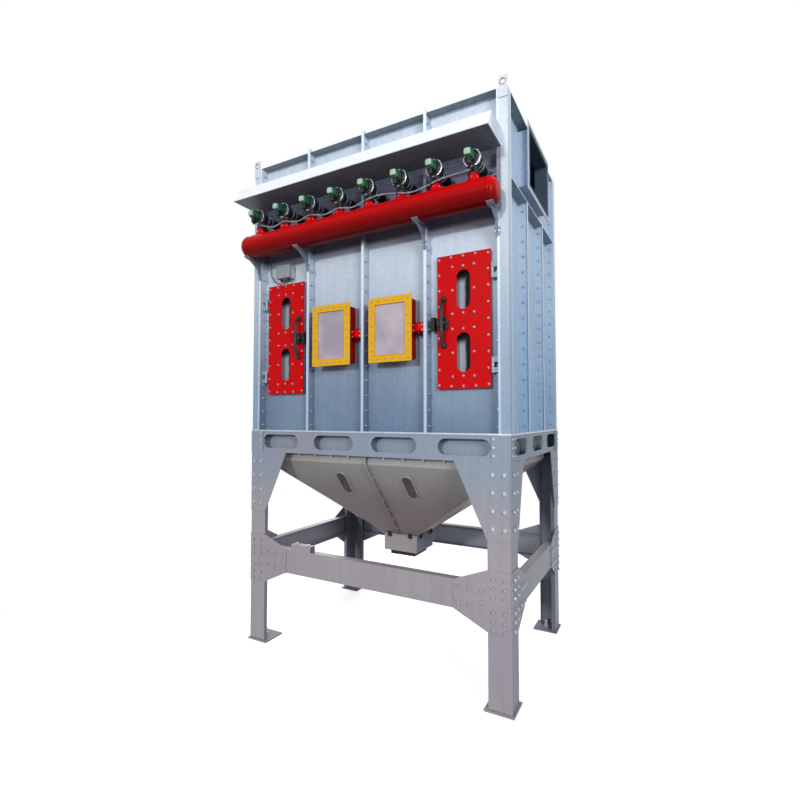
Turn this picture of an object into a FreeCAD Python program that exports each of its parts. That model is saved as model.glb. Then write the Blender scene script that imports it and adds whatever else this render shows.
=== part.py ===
import FreeCAD, Part
import math
import os
import types

import Sketcher

# Bag dust collector on four legs.
# Millimetres, Z up. The origin is on the floor at the centre of the frame's footprint.
# The front, with the doors, looks along -Y. The duct outlet is on the right, at +X.

SIZES = {
    # Overall frame, to the outer faces of posts, ribs and ring
    "frame_width": 1950,
    "frame_depth": 1310,
    "ring_bottom": 1368,
    "ring_height": 150,
    "housing_top": 3000,
    "roof_level": 3500,
    # Sheet walls with folded ribs
    "wall_sheet": 3,
    "rib_depth": 60,
    "rib_stem": 6,
    "rib_cap": 20,
    "rib_rise": 30,
    "side_rib_pitch": 216.5,
    "post_lap": 13,
    "post_wall": 5,
    # Lifting lugs at the post heads
    "lug_lap": 64,
    "lug_rise": 60,
    "lug_plate": 6,
    "lug_hole_radius": 14,
    "lug_hole_drop": 35,
    # Ring beam under the housing
    "ring_web": 5,
    "ring_flange": 75,
    "slot_height": 97,
    "slot_centre": 1448.5,
    "front_slot_length": 325,
    "front_slot_inset": 275,
    "side_slot_length": 285,
    "side_slot_inset": 225,
    "corner_plate": 5,
    "corner_plate_gap": 4.5,
    # Legs, plates and braces
    "leg_size": 135,
    "leg_lip": 28,
    "leg_wall": 6,
    "base_plate": 172,
    "base_overhang": 12,
    "base_thickness": 10,
    "anchor_inset": 80,
    "anchor_radius": 11,
    "gusset_plate": 5,
    "upper_gusset_foot": 935,
    "front_gusset_reach": 333,
    "side_gusset_reach": 260,
    "lower_gusset_foot": 430,
    "lower_gusset_head": 770,
    "front_tie_reach": 340,
    "side_tie_reach": 280,
    "brace_bottom": 525,
    "brace_height": 165,
    "brace_flange": 55,
    "brace_web": 5,
    "brace_gap": 5,
    "cleat_length": 170,
    "cleat_depth": 50,
    "cleat_height": 40,
    "cleat_wall": 4,
    "cleat_centre": -505,
    # Hopper and outlet
    "hopper_fold": 1310,
    "hopper_throat_level": 760,
    "hopper_throat": 270,
    "hopper_wall": 4,
    "hopper_flange": 30,
    "seam_depth": 27,
    "seam_width": 12,
    "window_length": 200,
    "window_width": 70,
    "window_side": 260,
    "window_level": 1165,
    "window_proud": 10,
    "outlet_height": 125,
    "outlet_wall": 5,
    "outlet_flange": 10,
    "collar_size": 200,
    "collar_height": 35,
    "collar_wall": 8,
    # Doors
    "door_bay_gap": 118,
    "door_height": 805,
    "door_bottom": 1790,
    "door_shift": 6,
    "door_plate": 5,
    "door_stand": 24,
    "door_gap": 5,
    "pan_inset": 24,
    "pan_depth": 40,
    "pan_sheet": 2,
    "opening_gap": 15,
    "coaming_inset": 3,
    "door_slot_edge": 98,
    "door_slot_bridge": 140,
    "door_slot_width": 86,
    "hinge_outset": 13,
    "hinge_stand": 33,
    "hinge_radius": 9,
    "hinge_pin_radius": 4,
    "hinge_length": 90,
    "hinge_inset": 130,
    "hinge_lap": 14,
    "hinge_play": 0.3,
    "hinge_arm": 6,
    "pin_clearance": 0.1,
    "grip_inset": 44,
    "grip_length": 307,
    "grip_stand": 46,
    "grip_radius": 9,
    "latch_reach": 79,
    "latch_height": 79,
    "latch_drop": 9,
    "latch_depth": 30,
    "keeper_length": 26,
    # Explosion vents
    "vent_width": 310,
    "vent_height": 412,
    "vent_centre": 2172,
    "vent_stand": 38,
    "vent_border": 46,
    "vent_frame": 6,
    "vent_box_inset": 20,
    "vent_box_wall": 4,
    "membrane": 3,
    "sensor_height": 65,
    "sensor_depth": 50,
    # Compressed-air header and pulse valves
    "tank_radius": 79.5,
    "tank_level": 2860,
    "tank_stand": 100,
    "tank_end_gap": 25,
    "tank_end_round": 44,
    "stub_radius": 28,
    "stub_rise": 115,
    "valve_end": 166.5,
    "valve_rise": 200,
    "valve_inlet_radius": 28,
    "valve_chamber_radius": 40,
    "valve_chamber_back": 35,
    "valve_chamber_front": 5,
    "valve_flange_radius": 52,
    "valve_flange": 12,
    "valve_dome_radius": 36,
    "valve_dome": 12,
    "coil_radius": 22,
    "coil_length": 54,
    "coil_cap_radius": 17,
    "coil_cap_length": 14,
    "pipe_radius": 30,
    "bracket_plate": 6,
    "bracket_foot": 220,
    "bracket_knee_reach": 36,
    "bracket_knee_drop": 138,
    "bracket_tip_reach": 145,
    "bracket_tip_drop": 70,
    "bracket_head": 40,
    "saddle_width": 40,
    "saddle_sheet": 5,
    # Rain hood
    "hood_end_gap": 37,
    "hood_sheet": 3,
    "hood_lip_reach": 240,
    "hood_lip_level": 3155,
    "hood_fold_reach": 176,
    "hood_fold_level": 3263,
    # Duct outlet on the right wall
    "duct_width": 600,
    "duct_height": 440,
    "duct_drop": 10,
    "duct_reach": 88,
    "duct_border": 40,
    "duct_wall": 4,
    "duct_flange": 5,
    "duct_bolt_radius": 6,
    # Controller and cables
    "controller_width": 130,
    "controller_height": 100,
    "controller_depth": 65,
    "controller_lift": 35,
    "cable_radius": 5,
    "lead_radius": 3,
}

ROOT_NODES = []


class Size:
    """A length kept both as a number and as the expression that ties it to the size sheet."""

    def __init__(self, text, value):
        self.text = text
        self.value = value

    def __add__(self, other):
        other = as_size(other)
        return Size(f"({self.text} + {other.text})", self.value + other.value)

    def __sub__(self, other):
        other = as_size(other)
        return Size(f"({self.text} - {other.text})", self.value - other.value)

    def __mul__(self, other):
        other = as_size(other)
        return Size(f"({self.text} * {other.text})", self.value * other.value)

    def __truediv__(self, other):
        other = as_size(other)
        return Size(f"({self.text} / {other.text})", self.value / other.value)

    def __radd__(self, other):
        return as_size(other) + self

    def __rsub__(self, other):
        return as_size(other) - self

    def __rmul__(self, other):
        return as_size(other) * self

    def __neg__(self):
        return Size(f"(0 - {self.text})", -self.value)


def as_size(number):
    """Accept a Size or a plain number."""
    if isinstance(number, Size):
        return number
    return Size(f"({float(number)})", float(number))


def slope_angle(rise, run):
    """Angle in degrees whose tangent is rise over run."""
    degrees = math.degrees(math.atan(rise.value / run.value))
    return Size(f"(atan({rise.text} / {run.text}) / 1deg)", degrees)


doc = FreeCAD.newDocument("dust_collector")


def make_sheet():
    """Write every driving dimension into the size sheet and return them by name."""
    sheet = doc.addObject("Spreadsheet::Sheet", "Sizes")
    for row, (name, value) in enumerate(SIZES.items(), start=1):
        sheet.set(f"A{row}", name)
        sheet.set(f"B{row}", str(value))
        sheet.setAlias(f"B{row}", name)
    doc.recompute()
    return types.SimpleNamespace(**{name: Size(f"Sizes.{name}", value) for name, value in SIZES.items()})


size = make_sheet()
half_width = size.frame_width / 2
half_depth = size.frame_depth / 2
ring_top = size.ring_bottom + size.ring_height
skin_front = half_depth - size.rib_depth
skin_side = half_width - size.rib_depth
wall_end = size.rib_depth + size.wall_sheet
post_width = wall_end - size.post_lap
front_bay = (half_width - wall_end) / 2
door_middle = front_bay * 1.5 + size.door_shift
door_centre = size.door_bottom + size.door_height / 2
door_width = front_bay - size.door_bay_gap
door_edge = door_middle - door_width / 2
hinge_side = door_middle + door_width / 2 + size.hinge_outset
latch_level = door_centre - size.latch_drop - size.latch_height / 2
header_y = -(half_depth + size.tank_stand)
stub_top = size.tank_level + size.stub_rise
valve_level = size.tank_level + size.valve_rise
TURNS = {"front": 0, "right": 90, "rear": 180, "left": 270}
# Degrees round the tank's axis from straight down, towards the rear
SADDLE_START = -33
SADDLE_SWEEP = 145
ROD_TURNS = {
    "X": FreeCAD.Rotation(FreeCAD.Vector(0, 1, 0), 90),
    "Y": FreeCAD.Rotation(FreeCAD.Vector(1, 0, 0), -90),
    "Z": FreeCAD.Rotation(),
}


def bind(item, path, length):
    """Tie one property of an object to the size sheet."""
    item.setExpression(path, as_size(length).text)


def place(item, base, turn=0):
    """Turn an object about Z and bind where it stands."""
    item.Placement = FreeCAD.Placement(FreeCAD.Vector(), FreeCAD.Rotation(FreeCAD.Vector(0, 0, 1), turn))
    for axis, length in zip("xyz", base):
        bind(item, f"Placement.Base.{axis}", length)


def block(name, low, high):
    """Box between two corners."""
    box = doc.addObject("Part::Box", name)
    for side, axis, start, end in zip(("Length", "Width", "Height"), "xyz", low, high):
        bind(box, side, end - as_size(start))
        bind(box, f"Placement.Base.{axis}", start)
    return box


def rod(name, axis, start, length, radius):
    """Cylinder along a row axis."""
    cylinder = doc.addObject("Part::Cylinder", name)
    cylinder.Placement = FreeCAD.Placement(FreeCAD.Vector(), ROD_TURNS[axis])
    bind(cylinder, "Radius", radius)
    bind(cylinder, "Height", length)
    for letter, place_length in zip("xyz", start):
        bind(cylinder, f"Placement.Base.{letter}", place_length)
    return cylinder


def fuse(name, pieces):
    """Join pieces into one solid."""
    joined = doc.addObject("Part::MultiFuse", name)
    joined.Shapes = pieces
    joined.Refine = True
    return joined


def cut(name, base, tool):
    """Take one piece out of another."""
    result = doc.addObject("Part::Cut", name)
    result.Base = base
    result.Tool = tool
    return result


def together(name, pieces):
    """Keep like pieces that do not touch in one object."""
    group = doc.addObject("Part::Compound", name)
    group.Links = pieces
    return group


def keep(item, label):
    """List an object as a sub-part of the machine under its own label."""
    item.Label = label
    ROOT_NODES.append(item)
    return item


def new_body(name, turn=0, base=(0, 0, 0)):
    """Empty body, turned about Z."""
    body = doc.addObject("PartDesign::Body", name)
    place(body, base, turn)
    return body


def new_sketch(body, role, offset=0):
    """Sketch on one of the body's own origin planes, moved along its normal."""
    plane = next(item for item in body.Origin.OriginFeatures if item.Role == role)
    sketch = body.newObject("Sketcher::SketchObject", f"{body.Name}Sketch")
    sketch.AttachmentSupport = [(plane, "")]
    sketch.MapMode = "FlatFace"
    bind(sketch, "AttachmentOffset.Base.z", offset)
    return sketch


def hold_point(sketch, edge, end, point):
    """Dimension one point of the sketch from its origin, across and up."""
    for kind, length in zip(("DistanceX", "DistanceY"), point):
        length = as_size(length)
        index = sketch.addConstraint(Sketcher.Constraint(kind, -1, 1, edge, end, length.value))
        sketch.setExpression(f"Constraints[{index}]", length.text)


def draw_outline(sketch, points):
    """Closed run of straight edges through dimensioned corners."""
    corners = [FreeCAD.Vector(as_size(x).value, as_size(y).value, 0) for x, y in points]
    count = len(corners)
    first = sketch.GeometryCount
    edges = [Part.LineSegment(corners[i], corners[(i + 1) % count]) for i in range(count)]
    sketch.addGeometry(edges, False)
    sketch.addConstraint([
        Sketcher.Constraint("Coincident", first + i, 2, first + (i + 1) % count, 1) for i in range(count)])
    for i, point in enumerate(points):
        hold_point(sketch, first + i, 1, point)


def draw_rectangle(sketch, low, high):
    """Rectangle between two dimensioned corners."""
    draw_outline(sketch, [low, (high[0], low[1]), high, (low[0], high[1])])


def draw_circle(sketch, centre, radius):
    """Circle with its centre and radius dimensioned."""
    x, y = (as_size(value).value for value in centre)
    edge = sketch.addGeometry(
        Part.Circle(FreeCAD.Vector(x, y, 0), FreeCAD.Vector(0, 0, 1), radius.value), False)
    hold_point(sketch, edge, 3, centre)
    index = sketch.addConstraint(Sketcher.Constraint("Radius", edge, radius.value))
    sketch.setExpression(f"Constraints[{index}]", radius.text)


def draw_slot(sketch, centre, length, width, upright=False):
    """Slot with full-round ends: two arcs joined by tangent edges."""
    radius = width / 2
    reach = length / 2 - radius
    offsets = (reach, -reach)
    turn = math.pi / 2 if upright else 0.0
    centres = []
    for offset in offsets:
        across, up = (as_size(0), offset) if upright else (offset, as_size(0))
        centres.append((as_size(centre[0]) + across, as_size(centre[1]) + up))
    first = sketch.GeometryCount
    arcs = []
    for (x, y), start in zip(centres, (turn - math.pi / 2, turn + math.pi / 2)):
        circle = Part.Circle(FreeCAD.Vector(x.value, y.value, 0), FreeCAD.Vector(0, 0, 1), radius.value)
        arcs.append(Part.ArcOfCircle(circle, start, start + math.pi))
    sides = [Part.LineSegment(arcs[i].EndPoint, arcs[1 - i].StartPoint) for i in range(2)]
    sketch.addGeometry(arcs + sides, False)
    near, far, side_out, side_back = range(first, first + 4)
    sketch.addConstraint([
        Sketcher.Constraint("Tangent", near, 2, side_out, 1),
        Sketcher.Constraint("Tangent", side_out, 2, far, 1),
        Sketcher.Constraint("Tangent", far, 2, side_back, 1),
        Sketcher.Constraint("Tangent", side_back, 2, near, 1),
        Sketcher.Constraint("Equal", near, far),
    ])
    hold_point(sketch, near, 3, centres[0])
    hold_point(sketch, far, 3, centres[1])
    index = sketch.addConstraint(Sketcher.Constraint("Radius", near, radius.value))
    sketch.setExpression(f"Constraints[{index}]", radius.text)


def pad(body, sketch, length):
    """Pad along the sketch's normal."""
    feature = body.newObject("PartDesign::Pad", f"{body.Name}Pad")
    feature.Profile = sketch
    bind(feature, "Length", length)
    return feature


def pocket_through(body, sketch):
    """Pocket right through the body, both ways from the sketch."""
    feature = body.newObject("PartDesign::Pocket", f"{body.Name}Pocket")
    feature.Profile = sketch
    feature.SideType = "Symmetric"
    feature.Type = "ThroughAll"
    return feature


def upright(body, low, high):
    """Sketch for a pad that runs up from one level to another."""
    return new_sketch(body, "XY_Plane", low), high - as_size(low)


def front_plate(body, back, front):
    """Sketch for a pad between two faces that look along -Y; distances are measured towards -Y."""
    return new_sketch(body, "XZ_Plane", back), front - as_size(back)


def tee(at, size_front, size_skin):
    """Corners of one folded rib: a stem from the skin and a cap on the frame's face."""
    stem = size.rib_stem / 2
    cap = size.rib_cap / 2
    cap_back = size_front + size.wall_sheet
    return [
        (at - stem, size_skin), (at - stem, cap_back), (at - cap, cap_back), (at - cap, size_front),
        (at + cap, size_front), (at + cap, cap_back), (at + stem, cap_back), (at + stem, size_skin),
    ]


def edge_flange(edge, inward, front, skin):
    """Corners of a wall's edge flange, its lip turned out to the post; inward is the way along the wall."""
    sheet = size.wall_sheet
    fold = edge + sheet * inward
    lip = edge - size.post_lap * inward
    return [
        (edge, skin + sheet), (edge, front + sheet), (lip, front + sheet),
        (lip, front), (fold, front), (fold, skin),
    ]


def joint_flange(edge, inward, front, skin):
    """Corners of a cassette's flange at a joint, its lip turned in, half a rib's cap wide."""
    sheet = size.wall_sheet
    fold = edge + sheet * inward
    lip = edge + size.rib_cap / 2 * inward
    return [
        (edge, skin + sheet), (edge, front), (lip, front),
        (lip, front + sheet), (fold, front + sheet), (fold, skin),
    ]


def wall_profile(face, low, high, ribs):
    """Plan of a sheet wall with an edge flange at each end and tee ribs between, seen from above."""
    front = -face
    skin = -(face - size.rib_depth)
    points = edge_flange(low, 1, front, skin)
    for at in ribs:
        points += tee(as_size(at), front, skin)
    return points + edge_flange(high, -1, front, skin)[::-1]


def ribbed_wall(label, side, face, low, high, ribs, foot, head, rise=0):
    """Folded sheet wall: skin, ribs, and flanges along its foot and head."""
    body = new_body(label, TURNS[side])
    sketch, length = upright(body, foot, head)
    draw_outline(sketch, wall_profile(face, low, high, ribs))
    pad(body, sketch, length)
    for level in (foot, head - size.wall_sheet):
        sketch, length = upright(body, level, level + size.wall_sheet)
        draw_rectangle(sketch, (low, -face), (high, -(face - size.rib_depth)))
        pad(body, sketch, length)
    if rise:
        for at in ribs:
            sketch, length = upright(body, head, head + rise)
            draw_outline(sketch, tee(as_size(at), -face, -(face - size.rib_depth)))
            pad(body, sketch, length)
    return keep(body, label)


def make_legs():
    """Four lipped angle legs, open towards the middle of the machine."""
    wide, lip, wall = size.leg_size, size.leg_lip, size.leg_wall
    outline = [
        (0, 0), (wide, 0), (wide, lip), (wide - wall, lip), (wide - wall, wall), (wall, wall),
        (wall, wide - wall), (lip, wide - wall), (lip, wide), (0, wide),
    ]
    corners = {
        "leg_front_left": (-half_width, -half_depth, 0),
        "leg_front_right": (half_width, -half_depth, 90),
        "leg_rear_right": (half_width, half_depth, 180),
        "leg_rear_left": (-half_width, half_depth, 270),
    }
    for label, (x, y, turn) in corners.items():
        body = new_body(label, turn, (x, y, 0))
        sketch, length = upright(body, size.base_thickness, size.ring_bottom)
        draw_outline(sketch, outline)
        pad(body, sketch, length)
        keep(body, label)


def make_base_plates():
    """Foot plates that stand out past the legs, each with its anchor hole."""
    body = new_body("base_plates")
    sketch, length = upright(body, 0, size.base_thickness)
    outer_x = half_width + size.base_overhang
    outer_y = half_depth + size.base_overhang
    for side_x in (-1, 1):
        for side_y in (-1, 1):
            inner = ((outer_x - size.base_plate) * side_x, (outer_y - size.base_plate) * side_y)
            draw_rectangle(sketch, inner, (outer_x * side_x, outer_y * side_y))
            anchor = ((half_width - size.anchor_inset) * side_x, (half_depth - size.anchor_inset) * side_y)
            draw_circle(sketch, anchor, size.anchor_radius)
    pad(body, sketch, length)
    keep(body, "base_plates")


def corner_plates(label, sides):
    """Flat plates over both legs of a face; sides gives each face its half length and its outline."""
    pieces = []
    for side, face, half_length, outline in sides:
        body = new_body(f"{label}_{side}", TURNS[side])
        sketch, length = front_plate(body, face, face + size.gusset_plate)
        for mirror in (-1, 1):
            draw_outline(sketch, [((half_length - inset) * mirror, level) for inset, level in outline])
        pad(body, sketch, length)
        pieces.append(body)
    keep(together(label, pieces), label)


def make_gussets():
    """Upper gussets under the ring and lower gussets where the braces meet the legs."""
    faces = (
        ("front", half_depth, half_width, size.front_gusset_reach, size.front_tie_reach),
        ("rear", half_depth, half_width, size.front_gusset_reach, size.front_tie_reach),
        ("left", half_width, half_depth, size.side_gusset_reach, size.side_tie_reach),
        ("right", half_width, half_depth, size.side_gusset_reach, size.side_tie_reach),
    )
    upper = []
    lower = []
    for side, face, half_length, reach, tie_reach in faces:
        upper.append((side, face, half_length, [
            (0, size.ring_bottom), (reach, size.ring_bottom),
            (size.leg_size, size.upper_gusset_foot), (0, size.upper_gusset_foot),
        ]))
        lower.append((side, face, half_length, [
            (0, size.lower_gusset_foot), (size.leg_size, size.lower_gusset_foot),
            (tie_reach, size.brace_bottom), (tie_reach, size.brace_bottom + size.brace_height),
            (size.leg_size, size.lower_gusset_head), (0, size.lower_gusset_head),
        ]))
    corner_plates("upper_gussets", upper)
    corner_plates("lower_gussets", lower)


def make_braces():
    """Channel braces between the legs, flanges inwards, with the loose cleat on the front one."""
    pieces = []
    bottom = size.brace_bottom
    top = size.brace_bottom + size.brace_height
    for side, face, half_length in (
            ("front", half_depth, half_width), ("rear", half_depth, half_width),
            ("left", half_width, half_depth), ("right", half_width, half_depth)):
        reach = half_length - size.leg_size - size.brace_gap
        body = new_body(f"brace_{side}", TURNS[side])
        sketch = new_sketch(body, "YZ_Plane", -reach)
        back = -(face - size.brace_flange)
        web = -(face - size.brace_web)
        draw_outline(sketch, [
            (-face, bottom), (back, bottom), (back, bottom + size.brace_web), (web, bottom + size.brace_web),
            (web, top - size.brace_web), (back, top - size.brace_web), (back, top), (-face, top),
        ])
        pad(body, sketch, reach * 2)
        pieces.append(body)
    keep(together("base_braces", pieces), "base_braces")
    cleat = new_body("brace_cleat")
    sketch = new_sketch(cleat, "YZ_Plane", size.cleat_centre - size.cleat_length / 2)
    front = -half_depth
    back = -half_depth + size.cleat_depth
    wall = size.cleat_wall
    draw_outline(sketch, [
        (front, top), (front + wall, top), (front + wall, top + size.cleat_height - wall),
        (back - wall, top + size.cleat_height - wall), (back - wall, top), (back, top),
        (back, top + size.cleat_height), (front, top + size.cleat_height),
    ])
    pad(cleat, sketch, size.cleat_length)
    keep(cleat, "brace_cleat")


def make_ring():
    """Ring beam of four mitred channels with long slots in their webs and a liner sheet behind these."""
    low, high, web = size.ring_bottom, ring_top, size.ring_web
    faces = {
        "front": (half_depth, half_width), "rear": (half_depth, half_width),
        "left": (half_width, half_depth), "right": (half_width, half_depth),
    }
    for side, (face, half_length) in faces.items():
        label = f"ring_{side}"
        body = new_body(label, TURNS[side])
        back = -(face - size.ring_flange)
        inner = -(face - web)
        sketch = new_sketch(body, "YZ_Plane", -half_length)
        draw_outline(sketch, [
            (-face, low), (back, low), (back, low + web), (inner, low + web),
            (inner, high - web), (back, high - web), (back, high), (-face, high),
        ])
        pad(body, sketch, half_length * 2)
        sketch = new_sketch(body, "XY_Plane", low)
        for mirror in (-1, 1):
            draw_outline(sketch, [
                (half_length * mirror, -face), (half_length * mirror, back),
                ((half_length - size.ring_flange) * mirror, back),
            ])
        pocket_through(body, sketch)
        sketch = new_sketch(body, "XZ_Plane", face)
        if side in ("front", "rear"):
            outer = half_width - size.front_slot_inset
            middles = [-outer, -outer / 3, outer / 3, outer]
            slot_length = size.front_slot_length
        else:
            outer = half_depth - size.side_slot_inset
            middles = [-outer, as_size(0), outer]
            slot_length = size.side_slot_length
        for middle in middles:
            draw_slot(sketch, (middle, size.slot_centre), slot_length, size.slot_height)
        pocket_through(body, sketch)
        sketch, length = upright(body, low + web, high - web)
        draw_strip(sketch, half_length - size.rib_depth, face - size.rib_depth, size.wall_sheet)
        pad(body, sketch, length)
        keep(body, label)


def make_ring_corner_plates():
    """Angle plates lapped over the ring's four corners, as far as the first slots."""
    pieces = []
    plate = size.corner_plate
    along = size.front_slot_inset - size.front_slot_length / 2 - size.corner_plate_gap
    deep = size.side_slot_inset - size.side_slot_length / 2 - size.corner_plate_gap
    for name, x, y, turn, reach, reach_back in (
            ("a", -half_width, -half_depth, 0, along, deep),
            ("b", half_width, -half_depth, 90, deep, along),
            ("c", half_width, half_depth, 180, along, deep),
            ("d", -half_width, half_depth, 270, deep, along)):
        body = new_body(f"ring_corner_{name}", turn, (x, y, 0))
        sketch, length = upright(body, size.ring_bottom, ring_top)
        draw_outline(sketch, [
            (-plate, -plate), (reach, -plate), (reach, 0), (0, 0), (0, reach_back), (-plate, reach_back),
        ])
        pad(body, sketch, length)
        pieces.append(body)
    keep(together("ring_corner_plates", pieces), "ring_corner_plates")


def draw_strip(sketch, across, deep, wall):
    """Front strip of a level rectangle's border, mitred at both ends."""
    draw_outline(sketch, [
        (-across, -deep), (across, -deep), (across - wall, wall - deep), (wall - across, wall - deep)])


def hopper_plate(side, across, deep):
    """One sloping hopper plate with its skirt and bolting flange, mitred to its neighbours."""
    body = new_body(f"hopper_{side}", TURNS[side])
    wall = size.hopper_wall
    throat = size.hopper_throat / 2
    low, fold, top = size.hopper_throat_level, size.hopper_fold, size.ring_bottom
    sketches = []
    for level, half, reach in ((low, throat, throat), (fold, across, deep)):
        sketch = new_sketch(body, "XY_Plane", level)
        draw_strip(sketch, half, reach, wall)
        sketches.append(sketch)
    slope = body.newObject("PartDesign::AdditiveLoft", f"hopper_{side}_slope")
    slope.Profile = sketches[0]
    slope.Sections = [sketches[1]]
    slope.Ruled = True
    sketch, length = upright(body, fold, top)
    draw_strip(sketch, across, deep, wall)
    pad(body, sketch, length)
    sketch, length = upright(body, top - wall, top)
    flange = size.hopper_flange
    draw_strip(sketch, across + flange, deep + flange, wall + flange)
    pad(body, sketch, length)
    if side in ("front", "rear"):
        sketch = new_sketch(body, "YZ_Plane", -size.seam_width / 2)
        reach = size.seam_depth
        draw_outline(sketch, [
            (-throat, low + wall), (-(throat + reach), low + wall), (-(deep + reach), fold),
            (-(deep + reach), top - wall), (-deep, top - wall), (-deep, fold),
        ])
        pad(body, sketch, size.seam_width)
    return body


def make_hopper():
    """Pyramid hopper of four mitred plates; the front and rear ones have a standing seam."""
    pieces = []
    for side in ("front", "rear"):
        pieces.append(hopper_plate(side, skin_side, skin_front))
    for side in ("left", "right"):
        pieces.append(hopper_plate(side, skin_front, skin_side))
    keep(together("hopper", pieces), "hopper")


def make_hopper_windows():
    """Oblong covers on the front slope of the hopper, long way down the slope."""
    throat = size.hopper_throat / 2
    rise = size.hopper_fold - size.hopper_throat_level
    run = skin_front - throat
    lean = slope_angle(run, rise)
    pieces = []
    for name, side in (("left", -1), ("right", 1)):
        body = new_body(f"window_{name}")
        body.Placement = FreeCAD.Placement(
            FreeCAD.Vector(), FreeCAD.Rotation(FreeCAD.Vector(1, 0, 0), lean.value))
        bind(body, "Placement.Rotation.Angle", lean)
        bind(body, "Placement.Base.x", size.window_side * side)
        height = size.window_level - size.hopper_throat_level
        bind(body, "Placement.Base.y", -(throat + height * run / rise))
        bind(body, "Placement.Base.z", size.window_level)
        sketch = new_sketch(body, "XZ_Plane", 0)
        draw_slot(sketch, (0, 0), size.window_length, size.window_width, upright=True)
        pad(body, sketch, size.window_proud)
        pieces.append(body)
    keep(together("hopper_windows", pieces), "hopper_windows")


def make_outlet():
    """Square outlet box under the hopper and the collar below it."""
    half = size.hopper_throat / 2
    collar = size.collar_size / 2
    top = size.hopper_throat_level
    bottom = top - size.outlet_height
    wall = size.outlet_wall
    body = new_body("hopper_outlet")
    for low, high, outer, inner in (
            (bottom, top, half, half - wall),
            (top - wall, top, half + size.outlet_flange, half - wall),
            (bottom, bottom + wall, half, collar - size.collar_wall)):
        sketch, length = upright(body, low, high)
        draw_rectangle(sketch, (-outer, -outer), (outer, outer))
        draw_rectangle(sketch, (-inner, -inner), (inner, inner))
        pad(body, sketch, length)
    keep(body, "hopper_outlet")
    ring = new_body("outlet_collar")
    sketch, length = upright(ring, bottom - size.collar_height, bottom)
    inner = collar - size.collar_wall
    draw_rectangle(sketch, (-collar, -collar), (collar, collar))
    draw_rectangle(sketch, (-inner, -inner), (inner, inner))
    pad(ring, sketch, length)
    keep(ring, "outlet_collar")


def make_corner_posts():
    """Angle posts at the housing's corners."""
    post, wall = post_width, size.post_wall
    outline = [(0, 0), (post, 0), (post, wall), (wall, wall), (wall, post), (0, post)]
    pieces = []
    for name, side_x, side_y, turn in (
            ("a", -1, -1, 0), ("b", 1, -1, 90), ("c", 1, 1, 180), ("d", -1, 1, 270)):
        body = new_body(f"post_{name}", turn, (half_width * side_x, half_depth * side_y, 0))
        sketch, length = upright(body, ring_top, size.roof_level)
        draw_outline(sketch, outline)
        pad(body, sketch, length)
        pieces.append(body)
    keep(together("corner_posts", pieces), "corner_posts")


def make_lifting_lugs():
    """Lug plates on the posts' front and rear faces, each with its shackle hole near the top."""
    pieces = []
    foot = size.roof_level - size.lug_lap
    top = size.roof_level + size.lug_rise
    for side in ("front", "rear"):
        body = new_body(f"lugs_{side}", TURNS[side])
        sketch, length = front_plate(body, half_depth, half_depth + size.lug_plate)
        for mirror in (-1, 1):
            draw_rectangle(sketch, ((half_width - post_width) * mirror, foot), (half_width * mirror, top))
            centre = ((half_width - post_width / 2) * mirror, top - size.lug_hole_drop)
            draw_circle(sketch, centre, size.lug_hole_radius)
        pad(body, sketch, length)
        pieces.append(body)
    keep(together("lifting_lugs", pieces), "lifting_lugs")


def make_front_panels():
    """Four front cassettes: the outer two with door openings and coamings, the inner two with vents."""
    sheet = size.wall_sheet
    edge = half_width - wall_end
    bays = {
        "front_panel_outer_left": (-edge, -front_bay, edge_flange, joint_flange),
        "front_panel_inner_left": (-front_bay, as_size(0), joint_flange, joint_flange),
        "front_panel_inner_right": (as_size(0), front_bay, joint_flange, joint_flange),
        "front_panel_outer_right": (front_bay, edge, joint_flange, edge_flange),
    }
    front, skin = -half_depth, -skin_front
    for label, (low, high, low_flange, high_flange) in bays.items():
        body = new_body(label)
        sketch, length = upright(body, ring_top, size.housing_top)
        draw_outline(sketch, low_flange(low, 1, front, skin) + high_flange(high, -1, front, skin)[::-1])
        pad(body, sketch, length)
        for level in (ring_top, size.housing_top - sheet):
            sketch, length = upright(body, level, level + sheet)
            draw_rectangle(sketch, (low, front), (high, skin))
            pad(body, sketch, length)
        if "outer" in label:
            add_door_opening(body, -1 if "left" in label else 1)
        else:
            add_vent_opening(body, -1 if "left" in label else 1)
        keep(body, label)


def door_rectangle(side, inset):
    """Corners of the door's outline, drawn in by an inset."""
    middle = door_middle * side
    half = door_width / 2 - inset
    head = size.door_bottom + size.door_height
    return (middle - half, size.door_bottom + inset), (middle + half, head - inset)


def add_door_opening(body, side):
    """Coaming round the door and the opening through it and the skin."""
    opening = size.pan_inset - size.opening_gap
    lip = skin_front + size.door_stand - size.door_plate - size.door_gap
    sketch, length = front_plate(body, skin_front, lip)
    draw_rectangle(sketch, *door_rectangle(side, size.coaming_inset))
    pad(body, sketch, length)
    sketch = new_sketch(body, "XZ_Plane", skin_front)
    draw_rectangle(sketch, *door_rectangle(side, opening))
    pocket_through(body, sketch)


def add_vent_opening(body, side):
    """Opening through the skin behind a vent box."""
    inset = size.vent_box_inset + size.vent_box_wall
    sketch = new_sketch(body, "XZ_Plane", skin_front)
    draw_rectangle(sketch, *vent_rectangle(side, inset))
    pocket_through(body, sketch)


def vent_rectangle(side, inset):
    """Corners of a vent frame's outline, drawn in by an inset."""
    middle = front_bay * (side / 2)
    half = size.vent_width / 2 - inset
    tall = size.vent_height / 2 - inset
    return (middle - half, size.vent_centre - tall), (middle + half, size.vent_centre + tall)


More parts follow.
